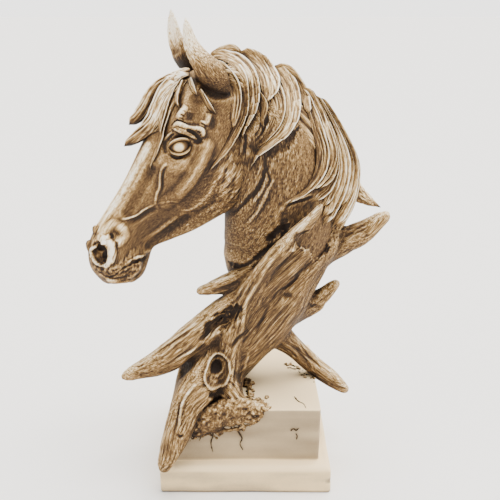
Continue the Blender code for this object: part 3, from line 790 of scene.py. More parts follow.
    brow_folds: tuple[Touch, ...] = (
        Touch(((170.2, 126.6), (176.4, 120.4), (182.5, 122), (187.1, 124.6), (191, 126.4)), 1.2, -0.9, -0.6),
        Touch(((171, 127.6), (176.4, 123.4), (184, 125.4), (192.4, 128), (199.3, 128.3), (203.6, 131),
               (202.4, 137)),
              1.9, 1.6, 0.35, power=1),
        Touch(((173, 127.5), (181, 129.4), (190, 132.5)), 3.4, 1.2, 0.0, power=1),
        Touch(((177, 126.4), (184, 128.8), (191, 131)), 0.9, -0.4, -0.35),
        Touch(((168.7, 130.4), (172.4, 128.6), (177.9, 131.4), (184, 134.4), (191.7, 137), (197.8, 139)),
              1.2, 1.6, 0.6),
        Touch(((171, 131), (174.8, 132.4), (179.4, 134.8), (184.8, 137), (189.4, 138.8), (195, 141.4)),
              1.4, -1.4, -0.6),
        Touch(((188.6, 130.6), (192.4, 132.4), (196.3, 135), (199.4, 138.8)),
              1.7, -1.6, -0.8, tapers=False, power=1),
        Touch(((198.6, 129), (202.4, 131.6), (202, 137)), 2.8, 1.1, 0.4, power=1),
        Touch(((199.6, 131.6), (200.4, 135), (199.6, 138)), 0.9, -0.6, -0.6),
        Touch(((193, 142.4), (198, 142), (203, 140.4)), 2.6, -1.2, -0.6),
        Touch(((163, 141), (166, 137.4), (169.5, 134), (173.4, 131.6)), 1.4, 1.1, 0.4),
        Touch(((166.6, 142), (169, 138.4), (172, 135), (175.4, 133)), 1.3, -0.9, -0.5),
        Touch(((168.3, 153.6), (174, 157.6), (179.4, 158), (185, 155.6)), 1.3, -0.6, -0.45),
    )
    forehead: tuple[Touch, ...] = (
        Touch(((186.6, 105.6), (182.8, 110.5), (179.6, 114.5), (177, 119)), 3.0, 1.3, 0.45, power=1),
        Touch(((179.4, 115), (182, 115), (185.4, 117)), 0.9, -0.8, -0.5),
        Touch(((178, 118), (181.4, 118.4), (184.6, 120.4)), 0.9, -0.7, -0.4),
        Touch(((182, 110.4), (184.6, 111), (187.4, 113)), 0.9, -0.6, -0.3),
        Touch(((209, 113), (208.4, 119), (205.4, 125)), 3.0, 1.2, 0.35, power=1),
        Touch(((200.5, 121.6), (203.4, 122), (206.6, 125)), 1.3, 1.0, 0.5),
        Touch(((199.4, 125.2), (202.4, 125.4), (205.4, 127.6)), 1.1, 0.9, 0.4),
        Touch(((200.6, 123.4), (203.6, 124.2), (206, 126.6)), 0.8, -0.9, -0.5),
        Touch(((190.5, 112), (189.6, 121)), 4.4, -0.8, -0.15),
        Touch(((212, 117), (214, 122), (212, 131)), 3.6, -0.5, -0.05, ragged=0.5),
        Touch(((166, 138), (164, 146), (166, 154)), 3.0, -0.7, -0.35),
    )

    def __post_init__(self) -> None:
        """Lofts the rails."""
        rails = [self.top, self.edge, self.brow, self.crest, self.cheek, self.jaw, self.bar, self.throat]
        self.skin = lofted(rails, self.rows, self.cols)
        self.skin.points = self.skin.smoothed(6)

    def to_world(self, points: Array) -> Array:
        """Leans and turns head coordinates (along, out, up) into the frame of the sculpture."""
        lean, turn = math.radians(self.lean), math.radians(self.turn)
        ahead = points[..., 0] * math.cos(lean) + points[..., 2] * math.sin(lean)
        rise = points[..., 2] * math.cos(lean) - points[..., 0] * math.sin(lean)
        out = points[..., 1]
        x = self.poll[0] - ahead * math.cos(turn) + out * math.sin(turn)
        y = self.poll[1] - ahead * math.sin(turn) - out * math.cos(turn)
        return np.stack([x, y, self.poll[2] + rise], axis=-1)

    def to_head(self, points: Array) -> Array:
        """Carries points of the sculpture's frame back to head coordinates."""
        frame = self.to_world(np.concatenate([np.eye(3), np.zeros((1, 3))]))
        return (points - frame[3]) @ (frame[:3] - frame[3]).T

    def model(self) -> None:
        """Models bones, muscles, veins, wrinkles, nostrils and mouth on both sides of the loft."""
        self.eye_place = self.seen((self.eye_spot,))[0] - [0.0, self.eye_depth, 0.0]
        fur = smoothstep(*self.fur_levels, self.skin.points[..., 2])
        self.skin.coat = self.fur_shares[0] + self.fur_shares[1] * fur
        touches = self.skull + self.cheekbone + self.veins + self.jaw_muscle + self.bridge + self.nostril
        for touch in touches + self.mouth + self.brow_folds + self.forehead:
            path = self.seen(touch.spots)
            for side in Side:
                self.skin.work(path * [1.0, side.value, 1.0], touch)
        lips = self.seen(self.lips.spots)
        for side in Side:
            weight = self.skin.stroke(lips * [1.0, side.value, 1.0], self.lips)
            self.skin.push(self.lips.height * weight * TORN.at(self.skin.points / self.lip_lumps, 2))

    def seen(self, spots: tuple) -> Array:
        """Returns the places that the photograph sees on the skin so far, in head coordinates."""
        places = self.skin.points
        self.skin.points = self.to_world(places)
        found = Bed([self.skin]).seen(spots)
        self.skin.points = places
        return self.to_head(found)

    def axis(self) -> Array:
        """Returns a line through the middle of the skull, that hair on the brow stands away from."""
        return self.to_world(curve_through(self.skull_line, np.linspace(0.0, 1.0, 30)))


@dataclass
class HorseEye:
    """A blank eye: a ball between two lids, in head coordinates.

    Its own frame has p towards the outer corner, q towards the top and r outwards.
    """

    centre: Array
    side: Side = Side.NEAR
    ball: float = 7.8
    half_long: float = 8.6
    half_high: Pair = (5.8, 5.2)
    corner_way: Triple = (-0.62, 0.12, -0.78)
    outward: Triple = (0.10, 1.0, 0.10)
    pupil: Pair = (-1.1, -0.3)
    pupil_edge: Pair = (0.34, 0.66)
    lid_grid: tuple[int, int] = (60, 20)

    def place(self, local: Array) -> Array:
        """Carries p, q, r to head coordinates."""
        long, out = unit(np.array(self.corner_way)), np.array(self.outward)
        out = unit(out - (out @ long) * long)
        high = np.cross(long, out)
        high = high if high[2] > 0 else -high
        place = self.centre + local[..., :1] * long + local[..., 1:2] * high + local[..., 2:] * out
        return place * [1.0, self.side.value, 1.0]

    def eyeball(self, rows: int = 40, cols: int = 56) -> Skin:
        """Turns a ball whose poles are the corners of the eye, cream in the middle of its front."""
        tilt = np.linspace(0.0, np.pi, rows)[:, None]
        turn = np.linspace(0.0, 2 * np.pi, cols, endpoint=False)[None, :]
        p = self.ball * np.cos(tilt) + 0 * turn
        q = 0.98 * self.ball * np.sin(tilt) * np.cos(turn)
        r = self.ball * np.sin(tilt) * np.sin(turn)
        ball = Skin(self.place(np.stack([p, q, r], axis=-1)))
        from_middle = np.hypot(p - self.pupil[0], q - self.pupil[1]) / self.ball
        ball.tone = 0.9 - 1.4 * smoothstep(*self.pupil_edge, from_middle)
        ball.coat = 0.0 * ball.coat
        return ball

    def arc(self, high: float, reach: float, proud: float, sag: float = 0.0, count: int = 9) -> Array:
        """Returns a line over the ball: q = high * (1 - (p / reach)^2)^0.6, r on the ball plus proud."""
        p = np.linspace(-reach, reach, count)
        q = high * np.clip(1 - (p / reach) ** 2, 0, 1) ** 0.6 + sag * p / reach
        r = np.sqrt(np.clip((self.ball + proud) ** 2 - p**2 - q**2, 4.0, None))
        return np.stack([p, q, r], axis=-1)

    def strip(self, line: Array, width: float, thick: float, tone: float) -> Skin:
        """Carries a thin strip along a line of this eye; it tapers as sqrt(1 - s^2) at both ends."""
        s = np.linspace(-1.0, 1.0, len(line))
        taper = 0.35 + 0.65 * np.sqrt(np.clip(1 - s**2, 0, 1))
        line = self.place(line)
        path = np.concatenate([line, (width * taper)[:, None], (thick * taper)[:, None]], axis=1)
        look = unit(line - self.place(np.zeros(3)))
        strip = swept(path, *self.lid_grid, look, blunt=(0.06, 0.06))
        strip.tone = strip.tone + tone
        strip.coat = 0.2 * strip.coat
        return strip

    def parts(self) -> list[Skin]:
        """Builds the ball and the two lids."""
        top, low = self.half_high
        long = self.half_long
        return [
            self.eyeball(),
            self.strip(self.arc(top, long, 1.0, 0.5), 1.0, 1.9, 0.4),
            self.strip(self.arc(-low, long, 0.8, 0.3), 0.75, 1.5, 0.35),
        ]


@dataclass
class Lock:
    """A free lock of hair: a flat tapering sweep with strands along it.

    The path holds x, y, z, half width and half thickness. Face is the way that its flat side looks.
    """

    path: Rows
    face: Rows = (0.0, -1.0, 0.0)
    strand_mm: Triple = (1.6, 1.6, 26.0)
    depth: float = 0.5
    seed: int = 1
    rows: int = 80
    cols: int = 44

    def skin(self) -> Skin:
        """Sweeps the lock and pushes it by ridged noise that runs along it."""
        body = swept(self.path, self.rows, self.cols, self.face, blunt=(0.12, 0.3))
        run = np.linspace(0.0, 1.0, self.rows)[:, None]
        fade = np.minimum(smoothstep(0.0, 0.12, run), smoothstep(1.0, 0.75, run))
        strands = combed(body.flow / self.strand_mm, self.seed)
        body.push(fade * self.depth * strands)
        body.tone = body.tone + 0.2 * fade * strands
        body.coat = 0.6 * body.coat
        return body


def combed(place: Array, seed: int) -> Array:
    """Returns strands of hair, from about -1 to 1: ridged noise of two widths."""
    grain = Grain(seed)
    fine = grain.at(place * [2.3, 2.3, 1.5] + 9.0, 1)
    return 0.75 * ridged(grain.at(place, 1)) + 0.35 * ridged(fine) - 0.35


@dataclass
class Sheet:
    """A lock of hair laid on a bed as a sheet between an outer edge and an inner one.

    Edges are pixels of the photograph. Across the sheet u runs from -1 at the inner edge to 1 at
    the outer edge, which stands up as a thin cream rim.
    """

    outer: Rows
    inner: Rows
    lift: float = 3.0
    rim: float = 1.1
    dish: float = 0.9
    strand: float = 1.35
    strand_run: float = 24.0
    depth: float = 0.65
    tone: float = 0.42
    seed: int = 1
    rows: int = 100
    cols: int = 60
    embed: float = 2.5
    facing: float = 0.0
    stations: int = 14
    rim_place: float = 0.86

    def skin(self, bed: Bed, axis: Array, side: Side = Side.NEAR) -> Skin:
        """Lays the sheet on a bed.

        Across it, the sheet follows the parabola through its edges and its middle on the bed. It
        stands off the bed, away from the axis, by lift, less a dish of 1 - u^2, with a bell-shaped
        rim round u = 0.86, and with strands along it.

        Args:
            bed: what it lies on.
            axis: points of the middle line that it stands away from.
            side: the side that it lies on.

        Returns:
            The closed skin.
        """
        outer, inner = (curve_through(edge, even_samples(edge, self.stations))
                        for edge in (self.outer, self.inner))
        lines = [bed.seen(line, side, soften=3) for line in (outer, (outer + inner) / 2, inner)]
        run = np.linspace(0.0, 1.0, self.rows)[:, None]
        outer, middle, inner = (curve_through(line, run[:, 0])[:, None] for line in lines)
        angle = np.linspace(0.0, 2 * np.pi, self.cols, endpoint=False)[None, :]
        u, front = np.cos(angle), smoothstep(-0.3, 0.3, np.sin(angle))
        base = middle + u[..., None] * (outer - inner) / 2 + (u**2)[..., None] * ((outer + inner) / 2 - middle)
        root = axis[np.linalg.norm(middle - axis[None], axis=2).argmin(axis=1)]
        look = unit(unit(base - root[:, None]) + self.facing * side.value * np.array([0.0, -1.0, 0.3]))
        width = np.linalg.norm(outer - inner, axis=2) / 2
        share = np.clip(width / 5.0, 0.2, 1.0)
        fade = np.minimum(smoothstep(0.0, 0.06, run), smoothstep(1.0, 0.92, run))
        bell = np.exp(-(((u - self.rim_place) / np.clip(0.7 / np.maximum(width, 0.5), 0.09, 0.3)) ** 2))
        along = np.linalg.norm(np.diff(middle[:, 0], axis=0), axis=1).sum() * run
        sway = 0.7 * np.sin(2 * np.pi * (0.8 * run + 0.13 * self.seed))
        flat = 0.0 * u * run
        place = [u * width / self.strand + sway, 0.37 * self.seed + flat, along / self.strand_run + flat]
        place = np.stack(place, axis=-1)
        strands = combed(place, self.seed)
        height = self.lift * (0.3 + 0.7 * smoothstep(-1.0, 0.5, u))
        height = height + share * (self.rim * bell - self.dish * (1 - u**2)) + share * self.depth * strands
        level = fade * (-self.embed + (height + self.embed) * front)
        skin = Skin(base + look * level[..., None])
        skin.flow = place * [self.strand, 1.0, self.strand_run]
        shaded_edge = np.exp(-(((u + 1.0) / 0.3) ** 2))
        skin.tone = self.tone + fade * front * (0.65 * self.rim * bell + 0.35 * strands - 0.6 * shaded_edge)
        skin.coat = 0.6 * skin.coat
        return skin


@dataclass
class HorseNeck:
    """The neck: a sweep down from the poll into the wood, with the roll of the mane on its crest.

    Spine and crest are rows of x, y, z, half width, half thickness. Its fur leans back by
    `fur_lean` across for each millimetre along, and fades towards the mane, between two x levels.
    """

    rows: int = 230
    cols: int = 180
    fur_mm: Triple = (1.7, 1.7, 6.0)
    fur_height: float = 0.13
    fur_lean: float = 0.45
    fur_fade: Pair = (30.0, 55.0)
    hair_mm: Triple = (2.6, 2.6, 50.0)
    roll_middle: float = 3.0
    roll_ridge: float = 4.2
    spine: tuple = (
        (-16, -5, 336, 22, 19), (4, -3, 316, 35, 25), (21, 0, 283, 42, 28), (29, 3, 243, 47, 30),
        (27, 4, 208, 46, 30), (23, 2, 190, 43, 27), (21, 0, 176, 35, 22), (23, -3, 163, 20, 14))
    crest: tuple = (
        (-28, -5, 341.5, 15.5, 14), (-11, -4, 342.5, 18.5, 17), (12, -3, 330.5, 20, 18),
        (31, 0, 317.5, 19, 18), (50, 2, 298.5, 18, 18), (64, 4, 274, 19, 17), (69.5, 5, 245, 18, 16),
        (65, 5, 212, 14, 13))
    creases: tuple[Touch, ...] = (
        Touch(((264, 150), (265.5, 166), (261, 182), (253, 194), (242, 205), (231, 215)),
              2.6, -1.3, -0.2, ragged=0.4),
        Touch(((274, 174), (268, 190), (262.7, 202), (255.5, 214), (247, 224)), 2.0, 1.1, 0.25),
        Touch(((270, 160), (268, 172), (270, 182), (266, 190)), 1.6, -0.9, -0.4, ragged=0.4),
        Touch(((270, 166), (266, 182), (259, 195), (250, 206)), 1.8, 1.1, 0.25),
        Touch(((254, 147), (262, 136), (270, 124)), 8.0, -1.8, 0.0),
    )
    # Grooves under the locks that hang over the neck, painted dark as the locks' shade, with one raised edge
    # painted paler.
    shade_under_hair: tuple[Touch, ...] = (
        Touch(((274, 116), (272, 126), (266, 136), (259, 143)), 1.8, -1.2, -0.7, ragged=0.5),
        Touch(((268, 114), (265, 124), (262, 133), (256, 141)), 1.6, -1.0, -0.6, ragged=0.5),
        Touch(((271, 112), (268.5, 124), (263.5, 134)), 1.1, 0.6, 0.4),
        Touch(((262, 118), (260, 128), (254, 138)), 1.3, -0.8, -0.4, ragged=0.4),
        Touch(((246, 134), (245, 145), (242.6, 156)), 2.4, -0.9, -0.55, ragged=0.5),
        Touch(((308, 113), (305, 122), (298, 129), (292, 135)), 1.8, -1.2, -0.55),
        Touch(((270, 152), (284, 146), (294, 134)), 5.0, -0.8, -0.3, ragged=0.7),
    )
    foot: tuple[Touch, ...] = (
        Touch(((270, 238), (277.5, 233), (286, 227)), 5.5, -2.2, -0.3, ragged=0.7),
        Touch(((271, 238), (276, 234)), 3.0, -1.6, -0.7, ragged=0.7),
        Touch(((281, 230.5), (287, 227)), 2.8, -1.6, -0.7, ragged=0.7),
        Touch(((283.5, 205.5), (291, 200.6), (300, 198.2), (312, 193.6)), 1.6, 1.2, 0.65),
        Touch(((285, 208), (292, 203.4), (301, 201), (314, 196.6)), 1.8, -1.4, -0.6),
        Touch(((286, 217), (297, 211), (309, 206)), 8.0, -1.0, 0.1),
        Touch(((229, 264), (238, 268), (247, 265), (255, 259), (263, 253), (270, 247)),
              3.2, -1.4, -0.6, ragged=0.7, tapers=False),
    )

    def axis(self) -> Array:
        """Returns the neck's middle line."""
        return curve_through(np.array(self.spine)[:, :3], np.linspace(0, 1, 60))

    def body(self) -> Skin:
        """Sweeps the neck, cuts its coat as short strokes and models the creases on it."""
        neck = swept(self.spine, self.rows, self.cols, squareness=2.25, blunt=(0.2, 0.1))
        neck.flow[..., 0] -= self.fur_lean * neck.flow[..., 2]
        neck.push(self.fur_height * ridged(Grain(21).at(neck.flow / self.fur_mm, 2)))
        neck.tone = neck.tone - 0.12
        neck.coat = 1.0 - 0.5 * smoothstep(*self.fur_fade, neck.points[..., 0])
        neck.carve(self.creases + self.shade_under_hair + self.foot)
        return neck

    def mane_roll(self) -> Skin:
        """Sweeps the roll of hair along the crest."""
        roll = swept(self.crest, 220, 110, squareness=2.1, blunt=(0.1, 0.15))
        roll.push(combed(roll.flow / self.hair_mm, 8) - 0.4)
        middle = np.exp(-(((roll.points[..., 1] - self.roll_middle) / 6.0) ** 2))
        roll.push(self.roll_ridge * middle)
        roll.coat = 0.6 * roll.coat
        roll.tone = roll.tone + 0.15 + 0.35 * middle
        return roll


@dataclass(frozen=True)
class Ear:
    """One ear: a leaf-shaped shell on a round base, hollow on the side that its mouth faces.

    Its line runs from the base to the tip. Each row is a pixel of the photograph, half the width
    seen there, in pixels, and half the depth from front to back, in millimetres. Scoop is the share
    of its thickness that the hollow takes, and inside is the hollow's tone.
    """

    line: tuple
    level: float
    mouth: Triple
    scoop: float
    inside: float
    rows: int = 90
    cols: int = 64

    def skin(self, view: PhotoView) -> Skin:
        """Sweeps the ear over a plane at the level y, and sinks its mouth along its middle line."""
        line = np.array(self.line, float)
        centre = view.on_plane(line[:, :2], 1, self.level)
        seen = line[:, 2] * view.project(centre)[1] / view.focal
        path = np.concatenate([centre, line[:, 3:4], seen[:, None]], axis=1)
        ear = swept(path, self.rows, self.cols, self.mouth, blunt=(0.36, 0.05))
        middle = ear.points.mean(axis=1, keepdims=True)
        spread = ear.points - middle
        look = unit(np.asarray(self.mouth, float))
        share = (spread @ look) / np.maximum(np.linalg.norm(spread, axis=2), TINY)
        run = np.linspace(0.0, 1.0, self.rows)[:, None]
        hollow = smoothstep(0.38, 0.5, run) * smoothstep(1.0, 0.9, run) * smoothstep(0.1, 0.9, share)
        ear.points = ear.points - self.scoop * (hollow * (spread @ look))[..., None] * look
        ear.push(0.12 * TORN.at(ear.points / 1.6, 2))
        # Paler towards the tip, and darker at the base as painted shade under the ear; the hollow takes its
        # inside tone.
        ear.tone = 1.8 * smoothstep(0.3, 0.85, run) - 0.6 + self.inside * hollow
        return ear


@dataclass
class Ears:
    """The near ear, seen from behind, and the far ear beyond it."""

    near: Ear = Ear(
        line=((230, 92, 7, 7), (221, 84, 14.5, 9.5), (209.5, 72.5, 16, 10.5), (198.9, 58.5, 9.8, 9.5),
              (191.9, 46, 6.2, 8.5), (188.6, 36, 4.5, 7), (186.7, 26, 3.0, 4.5), (185.4, 17.5, 0.7, 0.8)),
        level=-26.0, mouth=(-0.9, 0.4, 0.2), scoop=1.6, inside=-0.7)
    far: Ear = Ear(
        line=((195, 80, 4, 8), (188.5, 69.5, 5.4, 8.5), (182, 57, 7.0, 9.5), (176.8, 44, 7.4, 9),
              (173.6, 33, 6.4, 7.5), (171.8, 21, 4.6, 5), (170.8, 9, 0.7, 0.8)),
        level=12.0, mouth=(-0.8, -0.55, 0.2), scoop=0.85, inside=1.0)

    def skins(self, view: PhotoView) -> list[Skin]:
        """Builds both ears."""
        return [ear.skin(view) for ear in (self.near, self.far)]


@dataclass
class Timber:
    """One limb of driftwood: a boxy ring carried along x, y, z, half width, half thickness."""

    path: list
    squareness: float = 2.3
    samples: int = 60
    thinnest: float = 3.0

    def form(self) -> Skin:
        """Sweeps the limb."""
        return swept(self.path, 90, 64, squareness=self.squareness, blunt=(0.06, 0.05))

    def locate(self, points: Array) -> tuple[Array, Array]:
        """Finds points in the limb's own frame.

        Args:
            points: rows of x, y, z.

        Returns:
            The distance to the middle line over the limb's half width there, and the flow
            coordinates (across, out, along), at the nearest of the samples of the middle line.
        """
        places = even_samples(self.path, self.samples)
        track = curve_through(self.path, places)
        centre, girth = track[:, :3], np.maximum(track[:, 3:5].mean(axis=1), self.thinnest)
        tangent = unit(np.gradient(centre, axis=0))
        look = np.array([0.0, -1.0, 0.0]) - (tangent @ [0.0, -1.0, 0.0])[:, None] * tangent
        look = unit(look)
        across = np.cross(tangent, look)
        run = np.concatenate([[0.0], np.cumsum(np.linalg.norm(np.diff(centre, axis=0), axis=1))])
        best = np.full(len(points), np.inf)
        index = np.zeros(len(points), int)
        for k in range(self.samples):
            away = np.linalg.norm(points - centre[k], axis=1) / girth[k]
            near = away < best
            best[near] = away[near]
            index[near] = k
        offset = points - centre[index]
        flow = [(offset * axis[index]).sum(axis=1) for axis in (across, look, tangent)]
        return best, np.stack([flow[0], flow[1], flow[2] + run[index]], axis=-1)


@dataclass
class Driftwood:
    """The wood under the neck: a trunk, its roots on the plinth, and the branches and broken stubs.

    The limbs are fused to one skin and the forks between them filled, and the grain is cut along
    each limb, blending where limbs meet and bending round the knot. Each limb is rows of x, y, z,
    half width, half thickness.
    """

    voxel: float = 1.0
    grain: float = 0.45
    wave_mm: Triple = (34.0, 34.0, 30.0)
    swell_mm: Triple = (20.0, 20.0, 42.0)
    ridge_mm: Triple = (9.0, 9.0, 80.0)
    fine_mm: Triple = (2.6, 2.6, 40.0)
    fork_fill: float = 0.95
    fork_rounds: int = 90
    wood: dict = field(default_factory=lambda: {
        "trunk": [(80, 5, 224, 9, 12), (65, 4, 208, 18, 19), (43, 0, 184, 24.5, 25), (19, -4, 153, 32, 27),
                  (-7, -11, 120, 28, 25), (-26, -25, 94, 21, 21), (-33, -35, 76, 19, 19)],
        "inner_root": [(-20, -20, 104, 18, 15), (-18, -34, 88, 15, 14), (-14, -46, 77, 14, 11),
                       (-11, -54, 70, 14, 9), (-10, -60, 61, 10, 5)],
        "web": [(-18, -14, 134, 12, 10), (-33, -19, 119, 13, 10), (-44, -27, 104, 13, 10),
                (-52, -37, 88, 11, 9), (-56, -46, 74, 9, 8)],
        "back_root": [(-4, -2, 120, 20, 16), (-12, 16, 98, 15, 12), (-18, 32, 83, 14, 9),
                      (-22, 45, 74, 9, 6)],
        "left_branch": [(64, -8, 221, 7, 7), (40, -20, 204, 13, 9), (14, -24, 178, 14, 10),
                        (-14, -22, 152, 16, 12), (-40, -30, 135, 14.5, 11), (-69, -42, 118, 12, 9),
                        (-105, -52, 105, 3.5, 3)],
        "back_wrap": [(66, 10, 216, 6, 6), (46, 13, 200, 13, 9), (24, 14, 184, 16, 12),
                      (6, 11, 170, 16, 13), (-8, 5, 158, 8, 8)],
        "left_stub": [(12, -20, 190, 11, 9), (-6, -19, 182, 10, 9), (-26, -24, 177, 7, 6),
                      (-42, -28, 174, 3, 3)],
        "spike": [(63, -37, 256, 3.8, 3.5), (46, -36, 232, 6, 5), (21, -34, 204, 7.5, 6),
                  (6, -32, 182, 9, 7), (-5, -29, 158, 10, 8), (-12, -31, 134, 10, 9), (-14, -37, 110, 9, 9),
                  (-13, -44, 92, 9, 9), (-8, -51, 78, 12, 9), (-7, -56, 68, 13, 8), (-6, -60, 60, 9, 5)],
        "right_branch": [(54, 4, 190, 13, 13), (85, 8, 207.5, 12.5, 10), (106, 10, 218, 9, 7),
                         (126, 12, 232, 3, 3)],
        "right_stub": [(-14, -26, 104, 10, 9), (2, -20, 120, 12, 11), (24, -12, 138, 13, 13),
                       (45, -2, 147, 11, 11), (66, 3, 155, 8, 7), (84, 5, 170, 3, 3)],
        "low_stub": [(38, -2, 137, 9, 9), (54, -1, 142, 6, 5), (69, 0, 149, 3, 3)],
        "front_root": [(-12, -14, 122, 20, 18), (-33, -34, 98, 21, 17), (-45, -50, 84, 17.5, 15),
                       (-54, -62, 67, 13.5, 12), (-62, -69, 49, 11, 9), (-72, -78, 27, 5, 4.5)],
        "right_leg": [(18, -5, 134, 15, 13), (43, 0, 107, 10, 9), (58, 2, 91, 9, 8), (78, 0, 76, 8, 7),
                      (97, -3, 61, 4, 4)]})
    torn_hollow: tuple[Touch, ...] = (
        Touch(((212, 327), (223, 321), (234, 314)), 9.5, -5.0, 0.0, ragged=0.3),
        Touch(((219, 319), (229, 313.5), (237, 309)), 5.5, -1.4, -0.3, ragged=0.8),
        Touch(((210, 328), (206, 335), (202, 342)), 3.4, -1.3, -0.25, ragged=0.6),
        Touch(((213, 331), (224, 325), (236, 317)), 1.2, 0.6, 0.4, ragged=0.5),
        Touch(((216, 322), (226, 317), (235, 311)), 1.1, 0.5, 0.35, ragged=0.5),
        Touch(((199, 332), (208, 322.5), (216, 316.5), (229, 309)), 2.2, 1.0, 0.6, ragged=0.5),
        Touch(((203, 348), (195, 357), (187, 366), (181, 373)), 6.5, -1.6, -0.15),
        Touch(((206, 342), (197, 348), (186, 354.5), (176, 361)), 1.9, 1.2, 0.6),
    )
    foot_gaps: tuple[Touch, ...] = (
        Touch(((207, 411), (212, 407), (219, 400)), 5.0, -2.4, -0.3, ragged=0.4),
        Touch(((209, 395), (216, 396), (223, 391)), 3.4, -2.0, -0.5),
        Touch(((203, 412), (196, 428), (189, 440)), 4.0, -0.8, -0.4),
        Touch(((238, 374), (243, 384), (243, 396)), 6.0, -1.0, -0.4, ragged=0.6),
    )
    top: tuple[Touch, ...] = (
        Touch(((285, 244), (271.6, 261), (261, 278), (252.5, 292), (245, 306), (243, 331), (241, 349)),
              2.4, 1.2, 0.25),
        Touch(((302, 240), (311, 243), (320, 249)), 9.0, -4.5, -0.1, ragged=0.4),
        Touch(((305, 238), (316, 242), (323, 247)), 6.0, -1.5, -0.7, ragged=0.5),
        Touch(((281, 257), (292, 251), (300, 247.6), (305, 251), (303, 256)), 1.9, 1.3, 0.5, ragged=0.4),
        Touch(((300, 274), (294, 281), (284, 290)), 1.9, -1.6, -0.7),
        Touch(((287, 287), (279, 292), (273, 300)), 1.9, -1.2, -0.4),
        Touch(((283, 296), (293, 295)), 4.0, -1.0, -0.5, ragged=0.8),
        Touch(((312, 262), (300, 273), (288, 282)), 2.4, -1.0, -0.3),
        Touch(((320, 206), (312, 214), (302, 226), (290, 238)), 4.0, 0.0, 0.5),
        Touch(((304, 309), (313, 306), (321, 306)), 3.0, -0.8, -0.5, ragged=0.9),
    )
    trunk_lines: tuple[Touch, ...] = (
        Touch(((250, 331), (240, 338), (230, 348)), 3.0, -1.4, -0.4),
        Touch(((247, 283), (236, 300), (222, 312)), 2.4, -1.0, -0.25),
        Touch(((236, 274), (224, 279), (212, 283)), 2.4, 0.7, 0.3),
        Touch(((240, 281), (226, 288), (212, 291)), 3.0, -0.8, -0.4),
    )
    limb_lines: tuple[Touch, ...] = (
        Touch(((300, 345), (310, 357), (322, 368)), 2.4, -1.2, -0.3),
        Touch(((287, 341), (299, 351), (308, 362)), 2.8, -0.8, -0.5),
        Touch(((180, 400), (177, 420), (171, 445)), 2.0, -0.9, -0.35),
        Touch(((195.7, 383), (184, 400), (180, 415), (179, 431)), 1.7, 1.2, 0.6),
        Touch(((177, 434), (180, 437), (184, 435)), 1.6, -1.2, -0.7),
        Touch(((345, 236), (358, 228), (372, 220)), 2.4, -0.8, -0.3),
        Touch(((150, 357), (170, 343), (190, 331)), 2.4, -1.0, -0.3),
        Touch(((160, 348), (180, 334), (198, 322)), 2.0, 0.8, 0.25),
        Touch(((270, 305), (262, 320), (255, 333)), 2.2, -1.0, -0.3),
        Touch(((249, 352), (244, 370), (241, 390)), 2.2, 0.8, 0.2),
        Touch(((238, 352), (236, 372), (232, 392)), 2.4, -1.0, -0.35),
    )
    knot_centre: Triple = (-24.0, -47.0, 107.0)
    knot_radii: Pair = (10.5, 13.5)
    knot_lean: float = 12.0

    def shell(self) -> Shell:
        """Fuses the limbs, fills the forks, cuts the grain and carves the marks and the knot."""
        limbs = [Timber(path) for path in self.wood.values()]
        shell = fused([limb.form() for limb in limbs], self.voxel)
        shell.points = shell.smoothed(3)
        found = [limb.locate(shell.points) for limb in limbs]
        ranked = np.sort([away for away, _ in found], axis=0)
        fork = np.exp(-4.0 * (ranked[1] - ranked[0]))
        filled = shell.smoothed(self.fork_rounds)
        shell.points = shell.points + (filled - shell.points) * (self.fork_fill * fork)[:, None]
        shell.points = shell.smoothed(4)
        self.cut_grain(shell, limbs)
        shell.carve(self.torn_hollow + self.foot_gaps + self.top + self.trunk_lines + self.limb_lines)
        self.carve_knot(shell)
        return shell

    def knot_frame(self, points: Array) -> tuple[Array, Array, Array]:
        """Returns places in the knot's ellipse as shares of its radii, and a mask of the front."""
        lean = math.radians(self.knot_lean)
        offset = points - np.array(self.knot_centre)
        p = (offset[:, 0] * math.cos(lean) - offset[:, 2] * math.sin(lean)) / self.knot_radii[0]
        q = (offset[:, 0] * math.sin(lean) + offset[:, 2] * math.cos(lean)) / self.knot_radii[1]
        return p, q, smoothstep(20.0, 12.0, np.abs(offset[:, 1]))

    def cut_grain(self, shell: Shell, limbs: list[Timber]) -> None:
        """Pushes the shell by grain along each limb, weighted by exp(-8 (distance - nearest)).

        Broad swells are 20 mm across, ridges 9 mm and fine grain 2.6 mm, all bent by a slow wave.
        Round the knot the grain parts as a stream does round a post: across * (1 - 1 / r^2).
        """
        found = [limb.locate(shell.points) for limb in limbs]
        nearest = np.min([away for away, _ in found], axis=0)
        p, q, front = self.knot_frame(shell.points)
        past = np.maximum(p**2 + q**2, 1.0)
        bend = 12.0 * p / past * front
        total, height = np.zeros(len(nearest)), np.zeros(len(nearest))
        flow = np.zeros_like(shell.points)
        for seed, (away, own) in enumerate(found):
            weight = np.exp(-8.0 * (away - nearest))
            used = weight > 0.02
            noise, at = Grain(seed + 5), own[used]
            wave = noise.at(at / self.wave_mm + 3.0, 2)
            at = at + np.stack([3.5 * wave - bend[used], 2.0 * wave, 0.0 * wave], axis=-1)
            swell = noise.at(at / self.swell_mm, 2)
            ridge = ridged(noise.at(at / self.ridge_mm + 5.0, 2))
            fine = ridged(noise.at(at / self.fine_mm + 7.0, 2))
            height[used] += weight[used] * (1.9 * swell + self.grain * (0.55 * ridge + 0.8 * fine - 0.5))
            total += np.where(used, weight, 0.0)
            nearer = used & (away == nearest)
            flow[nearer] = at[nearer[used]]
        shell.flow = flow
        shell.push(height / total)

